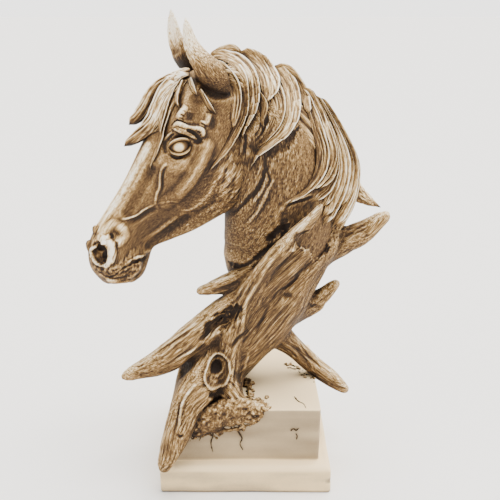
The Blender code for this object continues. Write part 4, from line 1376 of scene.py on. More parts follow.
    def carve_knot(self, shell: Shell) -> None:
        """Raises the knot's two rims and sinks its bowl and its hole."""
        p, q, front = self.knot_frame(shell.points)
        front = front * (shell.normals()[:, 1] < 0.2)
        r = np.hypot(p, q - 0.12 * (1.0 - p**2).clip(0.0)) * (1.0 + 0.07 * TORN.at(shell.points / 9.0, 2))
        worn = 0.55 + 0.45 * TORN.at(shell.points / 6.0 + 5.0, 2)
        rim = np.exp(-(((r - 1.0) / 0.085) ** 2)) * front
        rings = np.sin(22.0 * r) * np.clip(1.0 - r**2, 0.0, 1.0) * front
        bowl = np.clip(1.0 - (r / 0.92) ** 2, 0.0, 1.0) * front
        hole = smoothstep(1.25, 0.7, np.hypot((p + 0.17) / 0.46, (q - 0.22) / 0.38)) * front
        height = 1.9 * rim + 0.25 * rings - 3.0 * bowl - 3.6 * hole
        shell.points = shell.points + height[:, None] * [0.0, -1.0, 0.0]
        shell.tone = shell.tone + rim * worn + 0.3 * rings - 0.1 * bowl - 1.2 * hole


@dataclass
class Earth:
    """The crumbly earth round the roots: a low bank and scattered crumbs, fused, with rootlets.

    The plinth's block has its top at z = top and its front at y = front. The bank is rows of x, y,
    z, half width, half thickness. A row of crumbs is a line of pixels, how many and their radius.
    """

    top: float = 78.0
    front: float = -60.0
    voxel: float = 0.9
    lump_mm: float = 3.6
    speck_mm: float = 2.0
    scatter_px: float = 2.0
    bank: tuple = (
        (-60, -57, 60, 8, 5), (-42, -57, 65, 15, 8), (-26, -56, 69, 12.5, 9), (-10, -54, 75, 12, 9),
        (4, -55, 76, 8, 6.5), (16, -55, 77.5, 4, 6), (22, -54, 78, 2, 3))
    crumb_rows: tuple = (
        (((190, 437), (204, 434), (220, 431), (240, 427), (260, 418)), 160, 1.35),
        (((196, 430), (214, 424), (240, 420), (262, 412)), 130, 1.9),
        (((204, 417), (222, 413), (243, 409), (258, 404), (266, 400)), 120, 1.45),
        (((241, 379), (249, 384), (251, 391), (247, 399)), 60, 2.2),
        (((250, 398), (258, 402), (264, 406)), 30, 1.3),
        (((287, 364), (299, 370), (310, 376), (320, 378)), 90, 1.15))
    rootlets: tuple = (
        ((211, 424), (213, 434), (211, 443), (213, 452)),
        ((241, 421), (238, 430), (242, 438), (240, 444), (243, 450)),
        ((199, 430), (201, 436), (199, 441)),
        ((294, 396), (298.5, 401), (303.5, 403.5), (306, 408)),
        ((290.5, 431), (293.5, 428.5), (296, 430.5), (299, 427.5)),
        ((296, 433.5), (297.2, 436), (296.4, 439.5)))

    def shell(self, view: PhotoView) -> Shell:
        """Fuses the bank and the crumbs and roughens them with lumps of 2 to 4 mm."""
        rng = np.random.default_rng(12)
        forms = [swept(self.bank, 60, 40)]
        for row, count, size in self.crumb_rows:
            for place in rng.uniform(0.0, 1.0, count):
                spot = curve_through(row, np.array([place])) + rng.normal(0.0, self.scatter_px, (1, 2))
                radius = size * rng.uniform(0.5, 1.2)
                forms.append(self.crumb(self.on_block(view, spot)[0], radius))
        shell = fused(forms, self.voxel)
        shell.points = shell.smoothed(1)
        shell.push(Grain(3).at(shell.points / self.lump_mm, 3))
        shell.flow = shell.points.copy()
        shell.coat = 0.5 * shell.coat
        shell.tone = 0.2 + 0.55 * Grain(14).at(shell.points / self.speck_mm, 2)
        return shell

    def on_block(self, view: PhotoView, spots: Array) -> Array:
        """Finds pixels on the top of the plinth's block, or on its front below the edge."""
        top, front = view.on_plane(spots, 2, self.top), view.on_plane(spots, 1, self.front)
        return np.where((top[:, 1] < self.front)[:, None], front, top)

    def crumb(self, centre: Array, radius: float) -> Skin:
        """Returns a small ball of earth, a little flat."""
        path = [(*(centre + [0, 0, k * 0.7 * radius]), radius, radius) for k in (-1, 0, 1)]
        return swept(path, 7, 10, blunt=(0.5, 0.5))

    def roots(self, view: PhotoView) -> list[Skin]:
        """Lays thin dark rootlets on the block's top and down its front, the longer ones thicker."""
        found = []
        for k, line in enumerate(self.rootlets):
            path = self.on_block(view, np.array(line, float)) + [0.0, -0.4, 0.0]
            reach = np.linalg.norm(np.diff(path, axis=0), axis=1).sum()
            girth = np.linspace(0.3 + 0.015 * reach, 0.3, len(path))[:, None]
            root = swept(np.concatenate([path, girth, girth], axis=1), 50, 12, blunt=(0.1, 0.1))
            root.push(0.25 * Grain(40 + k).at(root.points / self.speck_mm, 2))
            root.tone = root.tone - 0.9
            found.append(root)
        return found


@dataclass
class Plinth:
    """The stepped plinth: a base with a rolled lip and a cove, and a block with soft edges."""

    base: Triple = (150.0, 140.0, 26.0)
    block: Triple = (130.0, 120.0, 52.0)
    soft: float = 1.2
    lip: float = 5.0
    cove: float = 1.5
    corner: float = 2.5
    worn_mm: float = 34.0
    brush_mm: Triple = (60.0, 60.0, 9.0)
    dent: Touch = Touch(((286, 470), (288, 470.5)), 2.6, -0.6, -0.8)
    chip_levels: Pair = (9.0, 14.0)
    chip: Touch = Touch((), 3.2, -0.8, -1.0, ragged=0.5)

    def levels(self) -> list[Triple]:
        """Returns the outline from the underside to the top as z, half x, half y."""
        base_x, base_y, base_z = self.base[0] / 2, self.base[1] / 2, self.base[2]
        block_x, block_y, top = self.block[0] / 2, self.block[1] / 2, self.base[2] + self.block[2]
        soft, lip = self.soft, base_z - self.lip
        levels = [(0.0, base_x - soft, base_y - soft), (0.4 * soft, base_x - 0.3 * soft, base_y - 0.3 * soft),
                  (soft, base_x, base_y)]
        levels += [(z, base_x, base_y) for z in np.linspace(soft, lip, 14)[1:]]
        for turn in np.linspace(0.0, np.pi / 2, 8)[1:]:
            inset = self.lip * (1 - math.cos(turn))
            levels.append((lip + self.lip * math.sin(turn), base_x - inset, base_y - inset))
        for turn in np.linspace(0.0, np.pi / 2, 5):
            inset = self.cove * (1 - math.sin(turn))
            levels.append((base_z + self.cove * (1 - math.cos(turn)), block_x + inset, block_y + inset))
        levels += [(z, block_x, block_y) for z in np.linspace(base_z + self.cove, top - soft, 30)[1:]]
        for turn in np.linspace(0.0, np.pi / 2, 5)[1:]:
            inset = soft * (1 - math.cos(turn))
            levels.append((top - soft + soft * math.sin(turn), block_x - inset, block_y - inset))
        return levels

    def skin(self, view: PhotoView) -> Skin:
        """Stacks the levels, closes the top and underside in rings, and wears and dents the paint."""
        skin = boxed(self.levels(), self.corner, 208, 12)
        skin.push(0.35 * Grain(30).at(skin.points / self.worn_mm, 3) - 0.2)
        skin.points[..., 2] = np.maximum(skin.points[..., 2], 0.0)
        skin.flow = skin.points[..., [2, 1, 0]]
        skin.tone = 0.25 * Grain(31).at(skin.points / self.brush_mm, 3)
        skin.tone = skin.tone + 0.75 * smoothstep(self.base[2] + 3.0, self.base[2], skin.points[..., 2])
        right, front = self.base[0] / 2, -self.base[1] / 2
        skin.work(view.on_plane(self.dent.spots, 1, front), self.dent)
        skin.work(np.array([(right, front, z) for z in self.chip_levels]), self.chip)
        return skin


def boxed(levels: list[Triple], radius: float, cols: int, rings: int) -> Skin:
    """Stacks rounded rectangles up the z axis and closes both ends with rings drawn in to the axis.

    Args:
        levels: rows of z, half x, half y.
        radius: the radius of the upright corners.
        cols: points round each ring, a multiple of 8.
        rings: rings across each end.

    Returns:
        The closed skin. Points are spread evenly along the sides, with an eighth on the corners.
    """
    table = np.array(levels, float)
    side = cols // 4
    bend = side // 8
    along = np.concatenate([np.linspace(-1, 1, side - bend), np.ones(bend)])
    turn = np.concatenate([np.zeros(side - bend), np.linspace(0, np.pi / 2, bend + 2)[1:-1]])
    quarters = []
    for k in range(4):
        face = np.array([math.cos(k * np.pi / 2), math.sin(k * np.pi / 2)])
        left = np.array([-face[1], face[0]])
        flat = face + along[:, None] * left
        arc = np.cos(turn)[:, None] * face + np.sin(turn)[:, None] * left
        quarters.append(np.concatenate([flat, arc], axis=1))
    ring = np.concatenate(quarters)
    half = table[:, None, 1:3]
    points = ring[None, :, :2] * (half - radius) + ring[None, :, 2:] * radius
    z = np.broadcast_to(table[:, :1, None], (len(table), len(ring), 1))
    stack = np.concatenate([points, z], axis=2)
    shrink = np.linspace(0.0, 1.0, rings + 1)[:-1, None, None]
    rings_in = np.concatenate([np.repeat(shrink, 2, axis=2), np.ones_like(shrink)], axis=2)
    return Skin(np.concatenate([stack[:1] * rings_in, stack, (stack[-1:] * rings_in)[::-1]]))


@dataclass
class Mane:
    """The mane: named sheets that curl over the near side, and sheets that stream down the crest.

    Each entry is a sheet's outer edge, its inner edge and its lift. Streams are the lines between
    the sheets on the crest, from the inner one to the outline. The far side's hair is lowered by so
    many pixels, which keeps it behind the near side's outline. Grids are rows and columns.
    """

    curls: dict = field(default_factory=lambda: {
        "poll_roll": (
            [(210, 56), (216, 52), (222, 48.8), (230, 47), (235.5, 48.6), (239, 52), (241.5, 56)],
            [(210, 57), (217, 57), (225, 56), (232, 56), (238.5, 57.5), (243, 60), (245, 62)], 2.0),
        "behind_ear": (
            [(211, 60), (222, 63), (230, 70), (237, 80), (240.5, 92), (241, 104), (238, 118), (233, 130)],
            [(209, 64), (217, 70), (224, 78), (229, 88), (231, 98), (231, 108), (231, 118), (233, 130)], 1.0),
        "cheek_under": (
            [(236, 62), (244, 76), (247, 90), (248, 106), (245, 120), (239, 134), (231, 148),
             (222.7, 157.5), (208.2, 172.1)],
            [(222, 66), (231, 78), (236.5, 90), (239.5, 104), (238, 117), (232.5, 130), (226, 143),
             (219, 155), (208.2, 172.1)], 2.0),
        "cheek_over": (
            [(209.4, 56), (220.3, 54.8), (232.4, 56.4), (242, 61.2), (249.4, 68.5), (254.5, 78), (257, 89),
             (257, 99), (255.5, 108), (251.8, 118), (246, 128), (242.6, 140)],
            [(209.4, 59), (219, 60), (229, 65), (238, 73), (244.5, 83), (247, 95), (247.5, 106), (246, 115),
             (243.5, 124), (241.5, 132), (242.6, 140)], 3.6),
        "hook": (
            [(257.9, 92), (262.7, 98), (265.9, 104.2), (265.9, 111.5), (263.5, 117.6), (262.7, 123.6),
             (264, 128.5)],
            [(255, 93), (258, 101), (260, 109), (260.5, 116.4), (260.5, 122.4), (264, 128.5)], 2.0),
        "crown": (
            [(241.5, 50.5), (250.6, 52.5), (259.5, 56.5), (266.5, 62.5), (272.8, 70.5), (276.5, 78.5),
             (277, 86), (275, 92.5), (270, 98.5), (266, 104)],
            [(241, 53), (248.2, 60), (254.2, 68.5), (258, 77.6), (260.3, 87.3), (262.7, 96), (266, 104)], 2.8),
        "scoop": (
            [(277, 80), (282.5, 91), (285, 103), (284, 115), (279, 127), (270, 137.5), (262, 145)],
            [(266, 100), (270, 108), (270, 117), (266.3, 127), (261, 137), (257, 147)], 0.6),
        "sickle": (
            [(275.4, 64.8), (282.1, 71.5), (289.4, 79.4), (294.4, 87.3), (296.4, 97), (296.6, 107.9),
             (295.4, 117.6), (292, 126), (286, 134.5), (277.5, 141.8), (268, 148.5), (259.5, 154.5),
             (254.6, 161.2), (252.6, 167.2), (249.4, 171.5)],
            [(273, 68), (278, 77.6), (282, 87.3), (284, 97), (284.5, 107.9), (283, 117.6), (279, 127.2),
             (272.8, 135.7), (265.5, 143), (259, 149.1), (254.6, 156.3), (251.6, 164.8), (249.4, 171.5)], 3.4),
        "crest_front": (
            [(274.8, 65.5), (284, 67), (291.5, 72), (297.5, 80), (302.5, 88.5), (305.5, 96.5), (306.5, 105),
             (309, 114.5)],
            [(274.8, 67.5), (282.3, 71.1), (289.6, 78.4), (295.6, 86.8), (299.5, 95.3), (302.1, 103.8),
             (304.5, 110.1), (309, 114.5)], 3.0)})
    streams: tuple = (
        [(300, 88), (306, 103), (310, 114), (313, 125), (316.5, 137), (319, 146), (319.5, 157),
         (318.5, 167), (315, 177), (311, 184), (304, 191), (295, 197), (283.5, 206)],
        [(304, 86), (314, 103), (320, 115), (325, 128), (330, 141), (332.5, 150), (332.8, 158),
         (330.5, 167), (326, 176), (320, 184), (312.5, 191.5), (304, 196.5), (294, 199.5)],
        [(309, 90), (319, 109), (327, 123), (331.5, 134), (334, 144), (336, 154), (337, 164), (336, 174),
         (332, 184.5), (326, 194), (322, 204)],
        [(311, 93), (323, 113), (332, 130), (337.5, 143), (341, 154), (342.5, 165), (342.5, 174),
         (340.5, 184), (336.5, 195), (331, 206), (326, 216), (322, 226)],
        [(314, 94), (327, 114), (337, 132), (343, 145), (347, 156), (348.5, 167), (347.5, 179),
         (344.5, 193), (339.5, 205), (333.5, 216), (328, 227)],
        [(317, 96), (331, 115), (341, 132), (347.5, 145.5), (352.5, 157), (354, 168.5), (353.5, 181),
         (351, 194), (346.5, 206), (341.5, 216), (335, 227)],
        [(320, 99), (327.7, 110.5), (336.5, 124), (343.5, 136), (349.5, 147), (354, 157), (357.5, 168),
         (357.5, 180), (356, 192), (353, 203), (347, 216), (337, 230)])
    shaded: tuple[str, ...] = ("scoop", "hook", "cheek_under")
    mirrored: tuple[str, ...] = ("cheek_under", "cheek_over", "crown", "scoop", "sickle", "crest_front")
    lowered: Pair = (-2.5, 4.5)
    near_grid: tuple[int, int] = (100, 48)
    far_grid: tuple[int, int] = (70, 36)
    far_curl_grid: tuple[int, int] = (70, 44)
    shaded_tone: float = 0.15
    far_lift: float = 0.4
    overlaps: tuple = ((-0.25, 0.55), (0.3, 1.0))
    free_tip: tuple = ((86, 5, 262, 10, 7), (99, 6, 250, 6.5, 5), (118, 8, 238.5, 0.8, 0.8))

    def near(self, bed: Bed, axis: Array) -> list[Skin]:
        """Lays the named sheets on the near side, the shaded ones darker."""
        found = []
        for k, (name, (outer, inner, lift)) in enumerate(self.curls.items()):
            tone = self.shaded_tone if name in self.shaded else Sheet.tone
            found.append(Sheet(outer, inner, lift, tone=tone, seed=10 + k).skin(bed, axis))
        return found

    def stream(self, bed: Bed, axis: Array, side: Side) -> list[Skin]:
        """Fills each gap between neighbouring lines with two sheets that overlap like tiles."""
        found = []
        lowered, grid = np.zeros(2), self.near_grid
        if side is Side.FAR:
            lowered, grid = np.array(self.lowered), self.far_grid
        for k, (left, right) in enumerate(zip(self.streams[:-1], self.streams[1:])):
            left, right = (curve_through(line, even_samples(line, Sheet.stations)) + lowered
                           for line in (left, right))
            for step, (start, end) in enumerate(self.overlaps):
                inner, outer = left + (right - left) * start, left + (right - left) * end
                tip = Sheet.stations - 1 - 2 * ((k + step) % 3 == 1)
                join = (inner[tip:tip + 1] + outer[tip:tip + 1]) / 2
                edges = [np.concatenate([line[:tip], join]) for line in (outer, inner)]
                lift = 2.4 + 1.6 * ((k + step) % 2)
                # Each sheet further out on the mane is paler, as painted light on the side that faces the
                # light; the steps add variety.
                tone = 0.15 * k + 0.08 * ((k + 2 * step) % 3) + 0.12
                rim = 1.2 if (2 * k + step) % 3 == 0 else 0.45
                sheet = Sheet(*edges, lift, rim, tone=tone, seed=40 + 2 * k + step, rows=grid[0], cols=grid[1],
                              facing=0.5)
                found.append(sheet.skin(bed, axis, side))
        return found

    def far(self, bed: Bed, axis: Array) -> list[Skin]:
        """Repeats the curls behind the crown and the streams, with fewer faces, on the far side."""
        found, (rows, cols) = [], self.far_curl_grid
        for k, name in enumerate(self.mirrored):
            outer, inner, lift = self.curls[name]
            edges = [np.array(edge) + self.lowered for edge in (outer, inner)]
            sheet = Sheet(*edges, self.far_lift * lift, seed=80 + k, rows=rows, cols=cols)
            found.append(sheet.skin(bed, axis, Side.FAR))
        return found + self.stream(bed, axis, Side.FAR)

    def tip(self) -> Skin:
        """Sweeps the lock that flies off the end of the mane."""
        tip = Lock(self.free_tip, seed=33).skin()
        run = np.linspace(0.0, 1.0, tip.points.shape[0])[:, None]
        tip.tone = tip.tone + 0.3 - 1.4 * smoothstep(0.85, 1.0, run)
        return tip


@dataclass
class Forelock:
    """The hair between the ears: sheets over the brow on the near side, and locks on the far side.

    Sheets are as in the mane. The far locks are in head coordinates. Flying sheets stand out from
    the brow, face the camera more, and are dark at their tips.
    """

    sheets: dict = field(default_factory=lambda: {
        "side": (
            [(184, 76), (176, 90), (170, 104), (166, 117), (163, 127), (160.7, 136)],
            [(176, 78), (168, 90), (163, 104), (159, 117), (158, 127), (160.7, 136)], 1.6),
        "low": (
            [(172, 76), (160, 90), (153, 105), (148.5, 117), (140.5, 128.5), (132, 137.5), (123.5, 146.6)],
            [(183, 84), (171, 97), (165, 109), (160.5, 121), (154, 131), (143, 139.5), (133.3, 143.8),
             (123.5, 146.6)], 4.0),
        "high": (
            [(188, 69.5), (178, 73), (167, 78), (156.5, 85), (148.8, 93.5), (143, 103.5), (136, 115),
             (128.4, 125)],
            [(189, 76), (178, 82), (167.5, 90), (159.5, 97), (153.5, 107), (146, 116), (137.5, 122.5),
             (128.4, 125)], 5.0),
        "under": (
            [(181, 80), (168, 92), (159.5, 104), (153.5, 116), (147.5, 127), (141, 138)],
            [(187, 80), (180, 94), (173, 108), (167.5, 120), (159, 130), (141, 138)], 1.2),
        "rim": (
            [(185, 80), (181, 91), (179, 101), (179.5, 108)],
            [(182, 80), (177, 90), (174.5, 101), (179.5, 108)], 3.0),
        "long": (
            [(172, 108), (168.3, 119), (165, 129), (163.4, 138), (160, 147), (156.4, 156), (152, 164),
             (150.2, 170)],
            [(167, 108), (164, 119), (160.7, 129), (159, 138), (156, 147), (152.5, 156), (149.8, 164),
             (150.2, 170)], 0.8),
        "ear_long": (
            [(201, 88), (207, 97.5), (212, 106), (216.5, 114.8)],
            [(198, 91), (203.5, 100.5), (208.5, 108.5), (216.5, 114.8)], 1.6),
        "ear_short": (
            [(192, 77), (194.5, 84), (196.5, 91), (197.5, 96)],
            [(188, 79), (190, 86), (192.5, 92), (197.5, 96)], 1.8)})
    flying: tuple[str, ...] = ("high", "low")
    far_locks: tuple = (
        [(6, -3, 18, 5, 3), (22, -3, 26, 7, 4), (38, -4, 28, 7, 4), (52, -5, 27, 4, 3),
         (66, -5, 24, 0.5, 0.5)],
        [(6, -8, 18, 4, 3), (24, -10, 26, 7, 4), (40, -12, 28, 6, 4), (56, -13, 24, 4, 3),
         (74, -12, 19, 0.5, 0.5)],
        [(8, -16, 18, 4, 3), (26, -18, 25, 4.5, 3), (42, -20, 22, 4, 3), (58, -21, 16, 0.5, 0.5)])

    def near(self, bed: Bed, axis: Array) -> list[Skin]:
        """Lays the sheets on the near side, dark at the tips that fly free."""
        found = []
        for k, (name, (outer, inner, lift)) in enumerate(self.sheets.items()):
            facing = 2.0 if name in self.flying else 0.7
            sheet = Sheet(outer, inner, lift, rim=0.9, dish=0.4, seed=70 + k, rows=80, cols=48, facing=facing)
            skin = sheet.skin(bed, axis)
            if name in self.flying:
                run = np.linspace(0.0, 1.0, sheet.rows)[:, None]
                skin.tone = skin.tone + 0.45 - 1.1 * smoothstep(0.82, 0.99, run)
            found.append(skin)
        return found

    def far(self) -> list[Skin]:
        """Sweeps the far locks, their flat sides turned out from the middle of the head."""
        found = []
        for k, path in enumerate(self.far_locks):
            look = unit(np.array([(0.0, out, up + 8.0) for _, out, up, _, _ in path]))
            found.append(Lock(path, look, seed=90 + k, rows=60, cols=36).skin())
        return found


def linear(code: str) -> tuple[float, float, float, float]:
    """Turns an sRGB hex code such as #AD8A60 to linear red, green, blue and an alpha of 1."""
    parts = [int(code[k:k + 2], 16) / 255 for k in (1, 3, 5)]
    return (*(v / 12.92 if v <= 0.04045 else ((v + 0.055) / 1.055) ** 2.4 for v in parts), 1.0)


def add(tree: bpy.types.NodeTree, kind: str, inputs: dict | None = None, **settings: object) -> bpy.types.Node:
    """Adds a node to a material.

    Args:
        tree: the material's node tree.
        kind: the node's type, such as Math.
        inputs: for each input's name or place, a constant or the output that feeds it.
        settings: the node's own properties.

    Returns:
        The node.
    """
    node = tree.nodes.new("ShaderNode" + kind)
    for name, value in settings.items():
        setattr(node, name, value)
    for name, value in (inputs or {}).items():
        if isinstance(value, bpy.types.NodeSocket):
            tree.links.new(value, node.inputs[name])
        else:
            node.inputs[name].default_value = value
    return node


@dataclass(frozen=True)
class AntiquedResin:
    """Cast polyresin, painted tan, washed brown into its hollows and dry-brushed cream on its ridges.

    One level, from 0 to 1, picks the paint: relief, tone, strokes along the flow and a fine speckle
    raise or lower it. Upward faces take more cream and downward faces less, as painted light from
    above. Close ambient occlusion darkens the hollows, as the wash and as painted shade, and wide
    ambient occlusion paints shade under the jaw and between the limbs.
    The real strokes are about 0.2 mm wide and 2 mm long, too fine to show in a render, so they are
    drawn 0.5 mm wide and 5.5 mm long. The real speckle of the sprayed coat, about 0.3 mm, is drawn
    1.1 mm wide for the same reason. Patches of paint that hands have worn are 26 mm across.
    """

    name: str
    paints: tuple = (
        (0.0, "#1C1006"), (0.18, "#342312"), (0.36, "#5A4124"), (0.52, "#87673C"), (0.68, "#C3A06A"),
        (0.84, "#F2DDB4"), (1.0, "#FFF6E4"))
    middle: float = 0.36
    relief_share: float = 0.34
    tone_share: float = 0.34
    # Painted light from above: upward faces paler and downward faces darker, by this share of the normal's z.
    painted_top_light_share: float = 0.22
    stroke_share: float = 1.45
    patch_share: float = 0.2
    speckle_share: float = 0.22
    # Painted shade: close ambient occlusion over shade_mm, which also stands for the wash in the hollows, and
    # wide ambient occlusion over depth_mm, under the jaw and between the limbs.
    shade_share: float = 0.55
    deep_shade_share: float = 0.4
    stroke_mm: tuple = (0.5, 5.5)
    stroke_depth_mm: float = 0.4
    speckle_mm: float = 1.1
    patch_mm: float = 26.0
    shade_mm: float = 7.0
    depth_mm: float = 40.0
    roughness: float = 0.62
    gloss: float = 0.22

    def build(self) -> bpy.types.Material:
        """Makes the material."""
        material = bpy.data.materials.new(self.name)
        material.use_nodes = True
        tree = material.node_tree
        shader = tree.nodes["Principled BSDF"]
        relief, tone, coat, flow = (
            add(tree, "Attribute", attribute_name=label) for label in ("relief", "tone", "coat", "flow"))
        wide, long = self.stroke_mm
        mapped = add(tree, "VectorMath", {0: flow.outputs["Vector"], 1: (1 / wide, 1 / wide, 1 / long)},
                     operation="MULTIPLY")
        strokes = add(tree, "TexNoise", {"Vector": mapped.outputs[0], "Scale": 1.0, "Detail": 2.0})
        place = add(tree, "TexCoord").outputs["Object"]
        speckle = add(tree, "TexNoise", {"Vector": place, "Scale": 1 / (self.speckle_mm * MM), "Detail": 3.0})
        patches = add(tree, "TexNoise", {"Vector": place, "Scale": 1 / (self.patch_mm * MM), "Detail": 3.0})
        # Painted shade, from ambient occlusion close by and far off.
        shade = add(tree, "AmbientOcclusion", {"Distance": self.shade_mm * MM}, samples=8)
        depth = add(tree, "AmbientOcclusion", {"Distance": self.depth_mm * MM}, samples=8)
        # Painted light from above, read from the normal's z.
        facing = add(tree, "SeparateXYZ", {0: add(tree, "NewGeometry").outputs["Normal"]})
        strokes = add(tree, "Math", {0: strokes.outputs["Fac"], 1: 0.5}, operation="SUBTRACT")
        strokes = add(tree, "Math", {0: strokes.outputs[0], 1: coat.outputs["Fac"]}, operation="MULTIPLY")
        level = self.middle - 0.5 * (self.speckle_share + self.patch_share)
        level = level - self.shade_share - self.deep_shade_share
        parts = ((relief.outputs["Fac"], self.relief_share), (tone.outputs["Fac"], self.tone_share),
                 (strokes.outputs[0], self.stroke_share), (speckle.outputs["Fac"], self.speckle_share),
                 (patches.outputs["Fac"], self.patch_share), (shade.outputs["AO"], self.shade_share),
                 (depth.outputs["AO"], self.deep_shade_share), (facing.outputs["Z"], self.painted_top_light_share))
        for part, share in parts:
            level = add(tree, "Math", {0: part, 1: share, 2: level}, operation="MULTIPLY_ADD").outputs[0]
        ramp = add(tree, "ValToRGB", {"Fac": level})
        while len(ramp.color_ramp.elements) < len(self.paints):
            ramp.color_ramp.elements.new(0.5)
        for element, (position, code) in zip(ramp.color_ramp.elements, self.paints):
            element.position, element.color = position, linear(code)
        height = add(tree, "Math", {0: speckle.outputs["Fac"], 1: 0.3, 2: strokes.outputs[0]},
                     operation="MULTIPLY_ADD")
        bump = add(tree, "Bump", {"Height": height.outputs[0], "Distance": self.stroke_depth_mm * MM})
        tree.links.new(ramp.outputs["Color"], shader.inputs["Base Color"])
        tree.links.new(bump.outputs["Normal"], shader.inputs["Normal"])
        shader.inputs["Roughness"].default_value = self.roughness
        shader.inputs["Specular IOR Level"].default_value = self.gloss
        return material


class Finish(Enum):
    """The finishes of the sculpture."""

    # Moulded polyresin, washed and wiped by hand: it gives the eye dark hollows, from the wash and from
    # painted shade, and pale ridges.
    HORSE = AntiquedResin("antiqued_resin")
    # The same casting brushed along its grain, lines of 12 mm and bleached patches of 16 mm, which
    # gives the eye old wood.
    WOOD =AntiquedResin("washed_wood_resin", stroke_mm=(0.5, 12.0), stroke_share=1.2, patch_mm=16.0,
                         patch_share=0.3, relief_share=0.24, middle=0.38)
    # The same casting stippled, which gives the eye dry crumbs: grit of 0.5 mm, drawn 1.2 mm to show.
    EARTH = AntiquedResin("earth_resin", stroke_share=0.0, speckle_mm=1.2, speckle_share=0.7,
                          relief_share=0.16, middle=0.34)
    # Acrylic paint brushed on a moulded block: it gives the eye worn cream, with painted light making it
    # palest on top.
    PAINT = AntiquedResin(
        "cream_paint",
        paints=((0.0, "#2B1C10"), (0.25, "#6B4F32"), (0.5, "#9D8A6C"), (0.7, "#C2AC88"), (0.85, "#EED3A2"),
                (1.0, "#FFE2B0")),
        middle=0.56, relief_share=0.0, painted_top_light_share=0.55, stroke_share=0.0, patch_share=0.12,
        speckle_share=0.08, shade_share=0.1, deep_shade_share=0.12, shade_mm=2.5, stroke_depth_mm=0.05)


@dataclass(frozen=True)
class Lamp:
    """A wide soft light far away: where it comes from, its strength and its angle across."""

    name: str
    place: Triple
    strength: float
    angle: float = 55.0


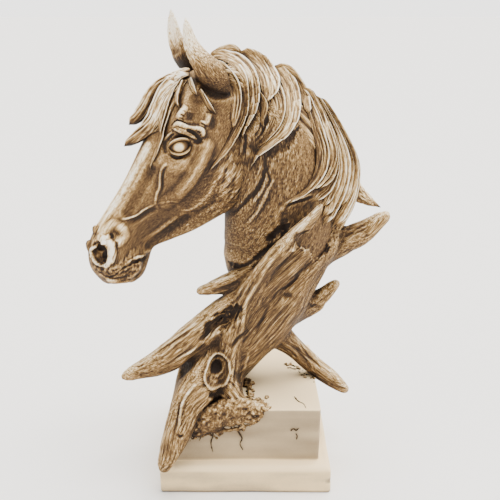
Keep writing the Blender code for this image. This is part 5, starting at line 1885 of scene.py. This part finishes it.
@dataclass(frozen=True)
class Studio:
    """The floor, the soft lights and the camera.

    Reach is half the floor's width in metres. Sky and horizon are the strengths of the air's light
    overhead and down at the floor, and haze the heights between which it goes from one to the other.
    """

    view: PhotoView = PhotoView()
    reach: float = 60.0
    sky: float = 0.28
    horizon: float = 2.92
    haze: Pair = (0.04, 0.16)
    air_colour: tuple[float, float, float, float] = (1.0, 0.98, 0.95, 1.0)
    paper: str = "#F6F2EC"
    paper_roughness: float = 0.9
    lamps: tuple = (
        Lamp("overhead", (0.2, 0.2, 1.6), 8.4), Lamp("left_window", (-1.5, -0.6, 0.9), 1.2),
        Lamp("right_window", (1.6, -0.2, 1.0), 1.7))

    def build(self) -> None:
        """Makes the pale floor, the lights, the sky and the camera."""
        self.air()
        self.floor()
        for lamp in self.lamps:
            self.light(lamp)
        self.camera()

    def air(self) -> None:
        """Fills the air with pale light that is brightest where it meets the floor."""
        world = bpy.context.scene.world or bpy.data.worlds.new("studio")
        bpy.context.scene.world = world
        world.use_nodes = True
        tree = world.node_tree
        place = add(tree, "TexCoord")
        height = add(tree, "SeparateXYZ", {0: place.outputs["Generated"]})
        light = add(tree, "MapRange", {
            "Value": height.outputs["Z"], "From Min": self.haze[0], "From Max": self.haze[1],
            "To Min": self.horizon, "To Max": self.sky})
        tree.links.new(light.outputs["Result"], tree.nodes["Background"].inputs["Strength"])
        tree.nodes["Background"].inputs["Color"].default_value = self.air_colour

    def floor(self) -> None:
        """Lays a plain pale floor of matt paper, which gives the eye no edge and only soft shadows."""
        mesh = bpy.data.meshes.new("floor")
        far = self.reach
        mesh.from_pydata([(-far, -far, 0), (far, -far, 0), (far, far, 0), (-far, far, 0)], [], [(0, 1, 2, 3)])
        finish = bpy.data.materials.new("pale_paper")
        finish.use_nodes = True
        shader = finish.node_tree.nodes["Principled BSDF"]
        shader.inputs["Base Color"].default_value = linear(self.paper)
        shader.inputs["Roughness"].default_value = self.paper_roughness
        mesh.materials.append(finish)
        floor = bpy.data.objects.new("floor", mesh)
        bpy.context.scene.collection.objects.link(floor)

    def light(self, lamp: Lamp) -> None:
        """Hangs a lamp and turns it to the sculpture."""
        data = bpy.data.lights.new(lamp.name, "SUN")
        data.energy = lamp.strength
        data.angle = math.radians(lamp.angle)
        hung = bpy.data.objects.new(lamp.name, data)
        hung.location = lamp.place
        hung.rotation_euler = (-Vector(lamp.place)).to_track_quat("-Z", "Y").to_euler()
        bpy.context.scene.collection.objects.link(hung)

    def camera(self) -> None:
        """Stands the camera where the photograph was taken from, looking down at the sculpture."""
        data = bpy.data.cameras.new("camera")
        data.lens = data.sensor_width * self.view.focal / (2 * self.view.middle)
        camera = bpy.data.objects.new("camera", data)
        camera.location = [value * MM for value in self.view.place]
        camera.rotation_euler = (math.radians(90.0 - self.view.tilt), 0.0, 0.0)
        bpy.context.scene.collection.objects.link(camera)
        bpy.context.scene.camera = camera


@dataclass
class Sculpture:
    """Every piece of the sculpture, put together from its parts."""

    casting: str = "horse_head_on_driftwood"
    casting_slot: str = "antiqued_resin"
    base: str = "plinth"
    base_slot: str = "painted_plinth"

    def animal(self) -> dict[str, list[Surface]]:
        """Models the head, neck and hair, and returns the surfaces of each piece."""
        head = HorseHead()
        head.model()
        eyes = [skin.moved(head.to_world) for side in Side for skin in HorseEye(head.eye_place, side).parts()]
        ears = Ears().skins(PhotoView())
        hair = [skin.moved(head.to_world) for skin in Forelock().far()]
        head.skin.moved(head.to_world)
        neck = HorseNeck()
        body, roll = neck.body(), neck.mane_roll()
        bed, axis = Bed([body, roll, head.skin]), neck.axis()
        mane = Mane()
        hair += Forelock().near(Bed([head.skin] + ears), head.axis())
        return {
            "head": [head.skin],
            "eyes": eyes,
            "ears": ears,
            "forelock": hair,
            "neck": [body],
            "mane_crest": [roll, mane.tip()],
            "mane_curls": mane.near(bed, axis),
            "mane_near": mane.stream(Bed([roll, body]), axis, Side.NEAR),
            "mane_far": mane.far(Bed([body, roll]), axis),
        }

    def build(self) -> None:
        """Makes every piece in its finish."""
        resin, timber, soil, cream = (finish.value.build() for finish in Finish)
        for name, surfaces in self.animal().items():
            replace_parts(cast_piece(name, surfaces, resin, self.casting_slot), self.casting)
        wood, earth = Driftwood(), Earth()
        view = PhotoView()
        for name, surfaces, finish in (("driftwood", [wood.shell()], timber),
                                       ("earth", [earth.shell(view)] + earth.roots(view), soil)):
            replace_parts(cast_piece(name, surfaces, finish, self.casting_slot), self.casting)
        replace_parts(cast_piece("plinth_body", [Plinth().skin(view)], cream, self.base_slot), self.base)


def main() -> None:
    """Loads the frame, builds every piece over it, sets up the studio and notes the sizes."""
    logging.basicConfig(level=logging.INFO, format="%(message)s")
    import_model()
    Sculpture().build()
    Studio().build()


if __name__ == "__main__":
    main()
